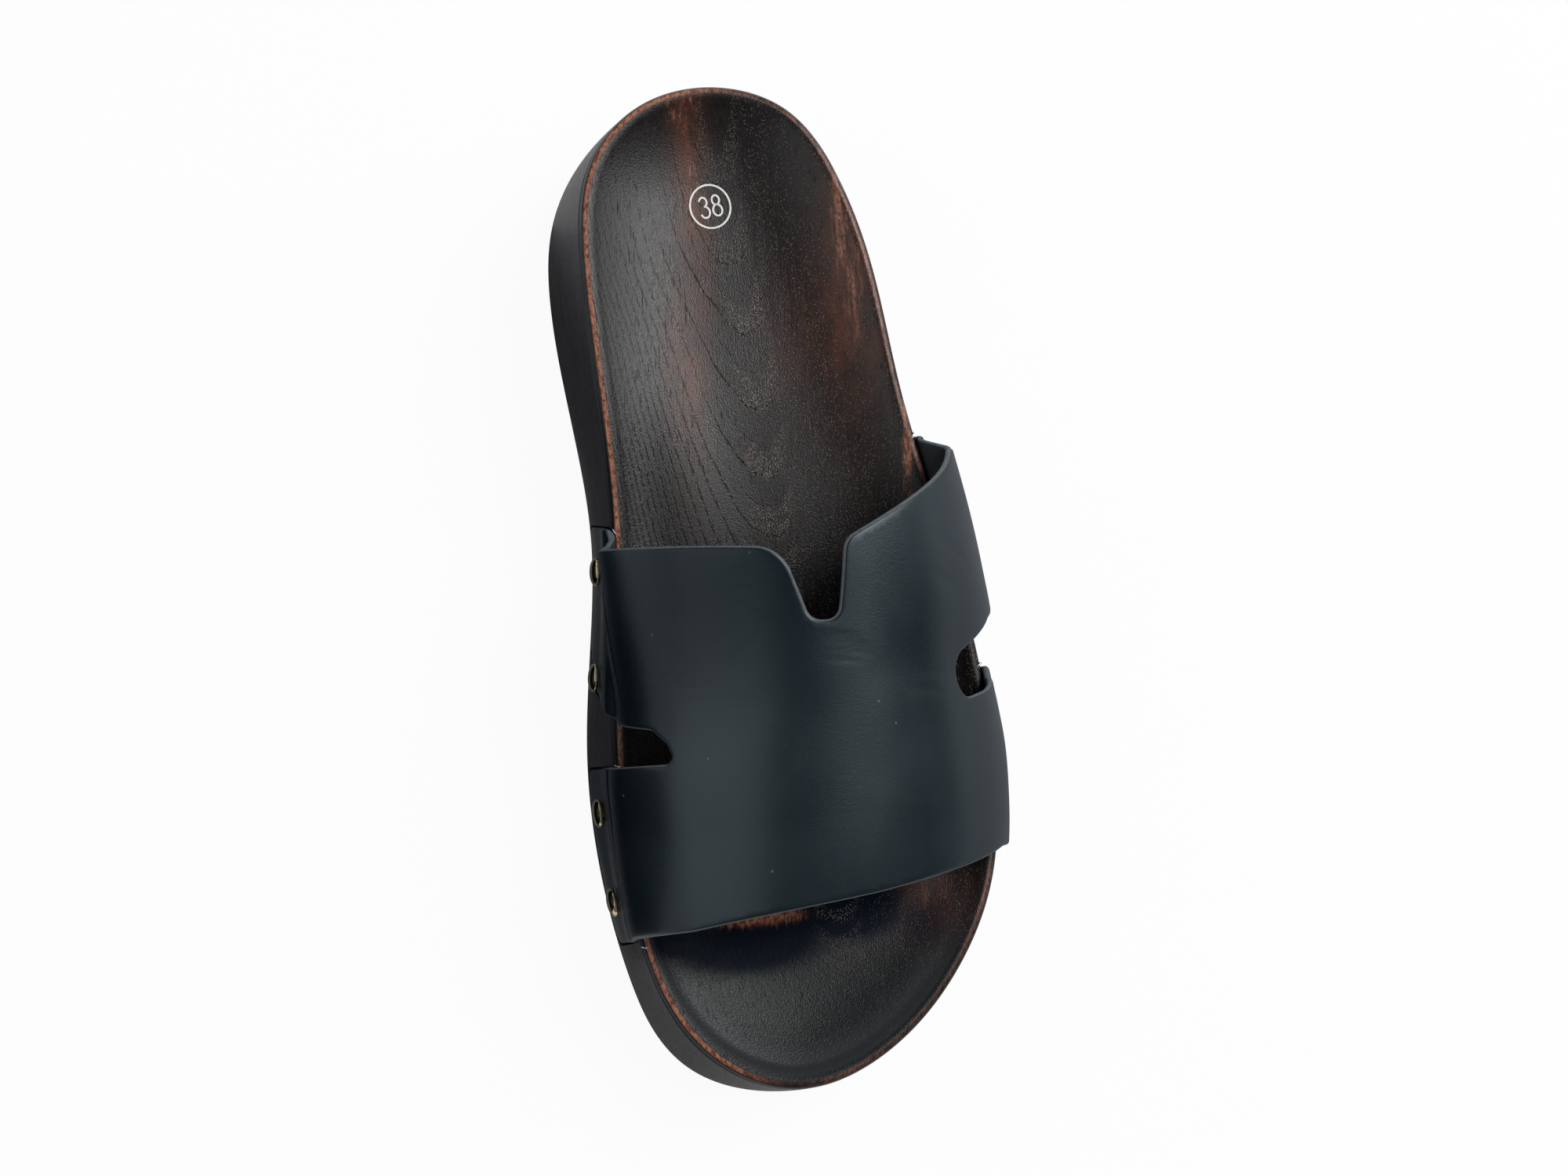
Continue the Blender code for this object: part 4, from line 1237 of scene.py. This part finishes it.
upper = make_upper()
upper.data.materials.append(leather_finish())
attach(upper, "root")
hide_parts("upper")

# --- studs ------------------------------------------------
# Eight dome-head nails of polished brass, two through each leg of the band into the sole.

STUD_GIRTH = 102.0
STUD_LIFT = 0.5
STUD_SIDES = 40
MEDIAL_STUDS = (123.0, 151.0, 186.0, 209.0)  # along
LATERAL_STUDS = (102.0, 128.5, 165.0, 190.0)
# radius, height over the head's underside, bottom to top
STUD_PROFILE = (
    (0.40, -13), (1.00, -11), (1.00, -0.25), (3.30, -0.05), (3.60, 0.06), (3.74, 0.28),
    (3.76, 0.60), (3.68, 0.94), (3.48, 1.26), (3.16, 1.54), (2.70, 1.78), (2.14, 1.97),
    (1.50, 2.10), (0.78, 2.18),
)
STUD_TOP = 2.2
STUD_SHARP = 50.0
BRASS_TONES = ((253, 238, 202), (236, 212, 164))


def turned_stud():
    """A nail turned round its own axis, closed by a point at each end."""
    angles = 2 * np.pi * np.arange(STUD_SIDES) / STUD_SIDES
    points = [(0.0, 0.0, STUD_PROFILE[0][1])]
    for radius, height in STUD_PROFILE:
        points += [(radius * np.cos(angle), radius * np.sin(angle), height) for angle in angles]
    points.append((0.0, 0.0, STUD_TOP))
    last = len(points) - 1 - STUD_SIDES
    faces = ring_faces(STUD_SIDES, len(STUD_PROFILE), first=1)
    for i in range(STUD_SIDES):
        j = (i + 1) % STUD_SIDES
        faces.append((0, 1 + j, 1 + i))
        faces.append((last + i, last + j, len(points) - 1))
    mesh = new_mesh("stud", points, faces)
    smooth(mesh, STUD_SHARP)
    return bpy.data.objects.new("stud", mesh)


def brass_finish():
    finish = Finish("polished_brass")
    tarnish = finish.noise((0.35, 0.35, 0.35), detail=4.0, rough=0.6)
    return finish.surface(
        Base_Color=finish.mixed(tarnish.rise(0.35, 0.7), BRASS_TONES),
        Metallic=1.0,
        Roughness=tarnish.rise(0.3, 0.7, 0.11, 0.18),
        Normal=finish.bump(finish.noise((3.0, 0.8, 3.0)), 0.01),
    )


stud_spots = [(STUD_GIRTH, along) for along in MEDIAL_STUDS]
stud_spots += [(-STUD_GIRTH, along) for along in LATERAL_STUDS]
stud_spots = np.array(stud_spots)
stud_normals = band_normal(stud_spots)
stud_places = band_surface(stud_spots) + stud_normals * (LEATHER + STUD_LIFT)
unit_sizes = np.ones((len(stud_spots), 3))
studs = repeated("dome_studs", stud_places, stud_normals, unit_sizes, turned_stud(), brass_finish())
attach(studs, "root")
for side in ("medial", "lateral"):
    for number in (1, 2, 3, 4):
        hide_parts(f"stud_{side}_{number}")

# --- staples ----------------------------------------------
# Short steel staples that pin the corners of the legs to the rim. Only their crowns show.

STAPLE_WIRE = 0.26  # radius
STAPLE_HALF = 0.9
STAPLE_DEEP = 1.6
STAPLE_PROUD = 0.16
STAPLE_INSET = 0.5  # from the rim's outline
STAPLE_SIDES = 10
STAPLE_STEPS = 13
STAPLE_SQUARE = 0.35  # power that squares the crown's shoulders
STEEL_TONES = ((226, 228, 230), (190, 192, 196))
# side (1 medial), along, turn in degrees from the rim's own direction
STAPLES = (
    (1, 115.3, 25),
    (1, 175, 70),
    (1, 221, 60),
    (-1, 94.2, 35),
    (-1, 154.6, 60),
)


def staple(side, along, turned):
    """A closed round wire along a staple's path, with its ends shut."""
    back, rim, front = wall_edge(side, np.array([along - 1.0, along, along + 1.0]), 0)
    across = float(rim) - side * STAPLE_INSET
    height = sole_top(across, along)
    run = Vector((float(front - back), 2.0, 0.0)).normalized()
    run = np.array(Matrix.Rotation(np.radians(turned) * side, 3, "Z") @ run)
    path = []
    for angle in np.radians(np.linspace(180.0, 0.0, STAPLE_STEPS)):
        bulge = abs(np.cos(angle)) ** STAPLE_SQUARE * np.sign(np.cos(angle))
        rise = STAPLE_PROUD - STAPLE_DEEP * (1 - np.sin(angle) ** STAPLE_SQUARE)
        path.append((across, along, height + rise) + run * bulge * STAPLE_HALF)
    ahead = unit(np.gradient(np.array(path), axis=0))
    square = unit(np.cross(path[-1] - path[0], path[STAPLE_STEPS // 2] - path[0]))
    angles = 2 * np.pi * np.arange(STAPLE_SIDES) / STAPLE_SIDES
    points = []
    for centre, third in zip(path, np.cross(ahead, square)):
        points += [centre + STAPLE_WIRE * (np.cos(a) * square + np.sin(a) * third) for a in angles]
    faces = ring_faces(STAPLE_SIDES, STAPLE_STEPS)
    faces.append(tuple(range(STAPLE_SIDES))[::-1])
    faces.append(tuple(range(len(points) - STAPLE_SIDES, len(points))))
    return points, faces


def steel_finish():
    finish = Finish("bright_steel_wire")
    dull = finish.noise((1.0, 1.0, 1.0), detail=3.0)
    tone = finish.mixed(dull.rise(0.3, 0.7), STEEL_TONES)
    return finish.surface(Base_Color=tone, Metallic=1.0, Roughness=dull.rise(0.3, 0.7, 0.18, 0.32))


staples = new_piece("staples", *joined(staple(*row) for row in STAPLES))
staples.data.materials.append(steel_finish())
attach(staples, "root")

# --- floor and light --------------------------------------
# A plain white floor in a studio, lit softly: a small key lamp and a soft box high over the lateral
# side of the heel, a ceiling panel, and a wide panel on the medial side. A black, a grey and a foot
# card stand beyond the medial side and one lies beyond the lateral side, out of the camera's sight.
# They are seen only in reflections and light nothing: painted dark and pale reflections.

FLOOR_HALF = 4.0
FLOOR_GLOW = 0.94  # share of what the camera sees of the floor that is plain white
FLOOR_TONES = ((240, 240, 240), (246, 246, 246))
ROOM_LIGHT = 0.12
ROOM_TINT = (0.93, 0.96, 1.0, 1.0)
# name, place, size, power
LAMPS = (
    ("key_lamp", (-0.85, -0.45, 1.80), (0.4, 0.4), 7.0),
    ("soft_box", (-1.00, -0.40, 0.95), (1.0, 1.0), 10.5),
    ("side_panel", (1.15, 0.15, 0.85), (1.6, 1.3), 5.4),
    ("ceiling_panel", (-1.00, -0.30, 2.00), (1.5, 1.9), 15.0),
)
CARD_THICK = 0.001
# along, height of each card's top edge
BLACK_TOP = (
    (-0.020, 0.004), (0.060, 0.040), (0.125, 0.050), (0.140, 0.066), (0.165, 0.066), (0.190, 0.046),
)
GREY_TOP = ((-0.020, 0.075), (0.190, 0.075))
FOOT_TOP = ((-0.020, CARD_THICK), (0.190, CARD_THICK))
LATERAL_TOP = ((-0.089, CARD_THICK), (0.350, CARD_THICK))
# name, across, reach of its foot towards the lateral side, its top, tones
CARDS = (
    ("black_card", 0.060, CARD_THICK, BLACK_TOP, ((8, 12, 18), (18, 22, 29))),
    ("grey_card", 0.070, CARD_THICK, GREY_TOP, ((224, 226, 230), (238, 240, 244))),
    ("foot_card", 0.060, 0.018, FOOT_TOP, ((128, 130, 138), (142, 144, 152))),
    ("lateral_card", -0.075, 0.350, LATERAL_TOP, ((160, 162, 166), (176, 178, 182))),
)

corners = [(-1.0, -1.0), (1.0, -1.0), (1.0, 1.0), (-1.0, 1.0)]
floor_points = [(x * FLOOR_HALF, y * FLOOR_HALF, 0.0) for x, y in corners]
floor = add_object("floor", new_mesh("floor", floor_points, [(0, 1, 2, 3)]))
floor_finish = Finish("pale_floor")
floor_tone = floor_finish.mixed(floor_finish.noise((0.004, 0.004, 0.004)), FLOOR_TONES)
floor.data.materials.append(floor_finish.surface(Base_Color=floor_tone, Roughness=0.9))
seen = floor_finish.node("LightPath", {}, "Is Camera Ray")
plain = floor_finish.node("Emission", {})
shaded = Value(floor_finish, floor_finish.shader.outputs["BSDF"])
mixed = floor_finish.node("MixShader", {0: seen * FLOOR_GLOW, 1: shaded, 2: plain})
floor_finish.put(floor_finish.tree.nodes["Material Output"].inputs["Surface"], mixed)

for name, across, foot, top, tones in CARDS:
    points = []
    for along, height in top:
        points += [(across, along, height), (across, along, CARD_THICK)]
        points.append((across - foot, along, CARD_THICK))
    faces = []
    for i in range(0, len(points) - 3, 3):
        faces += [(i, i + 1, i + 4, i + 3), (i + 1, i + 2, i + 5, i + 4)]
    card = add_object(name, new_mesh(name, points, faces))
    # Painted reflections: the cards show only in reflections and cast no shadow.
    card.visible_camera = False
    card.visible_diffuse = False
    card.visible_shadow = False
    finish = Finish(name)
    tone = finish.mixed(finish.noise((0.01, 0.01, 0.01)), tones)
    card.data.materials.append(finish.surface(Base_Color=tone, Roughness=1.0, Specular_IOR_Level=0.0))

for name, place, size, power in LAMPS:
    lamp_data = bpy.data.lights.new(name, "AREA")
    lamp_data.shape = "RECTANGLE"
    lamp_data.size = size[0]
    lamp_data.size_y = size[1]
    lamp_data.energy = power
    lamp = add_object(name, lamp_data)
    lamp.location = place
    if name != "ceiling_panel":
        lamp.rotation_euler = (LOOK_AT - lamp.location).to_track_quat("-Z", "Y").to_euler()

world = bpy.data.worlds.new("studio")
world.use_nodes = True
world.node_tree.nodes["Background"].inputs["Color"].default_value = ROOM_TINT
world.node_tree.nodes["Background"].inputs["Strength"].default_value = ROOM_LIGHT
bpy.context.scene.world = world
bpy.context.scene.view_settings.view_transform = "Standard"
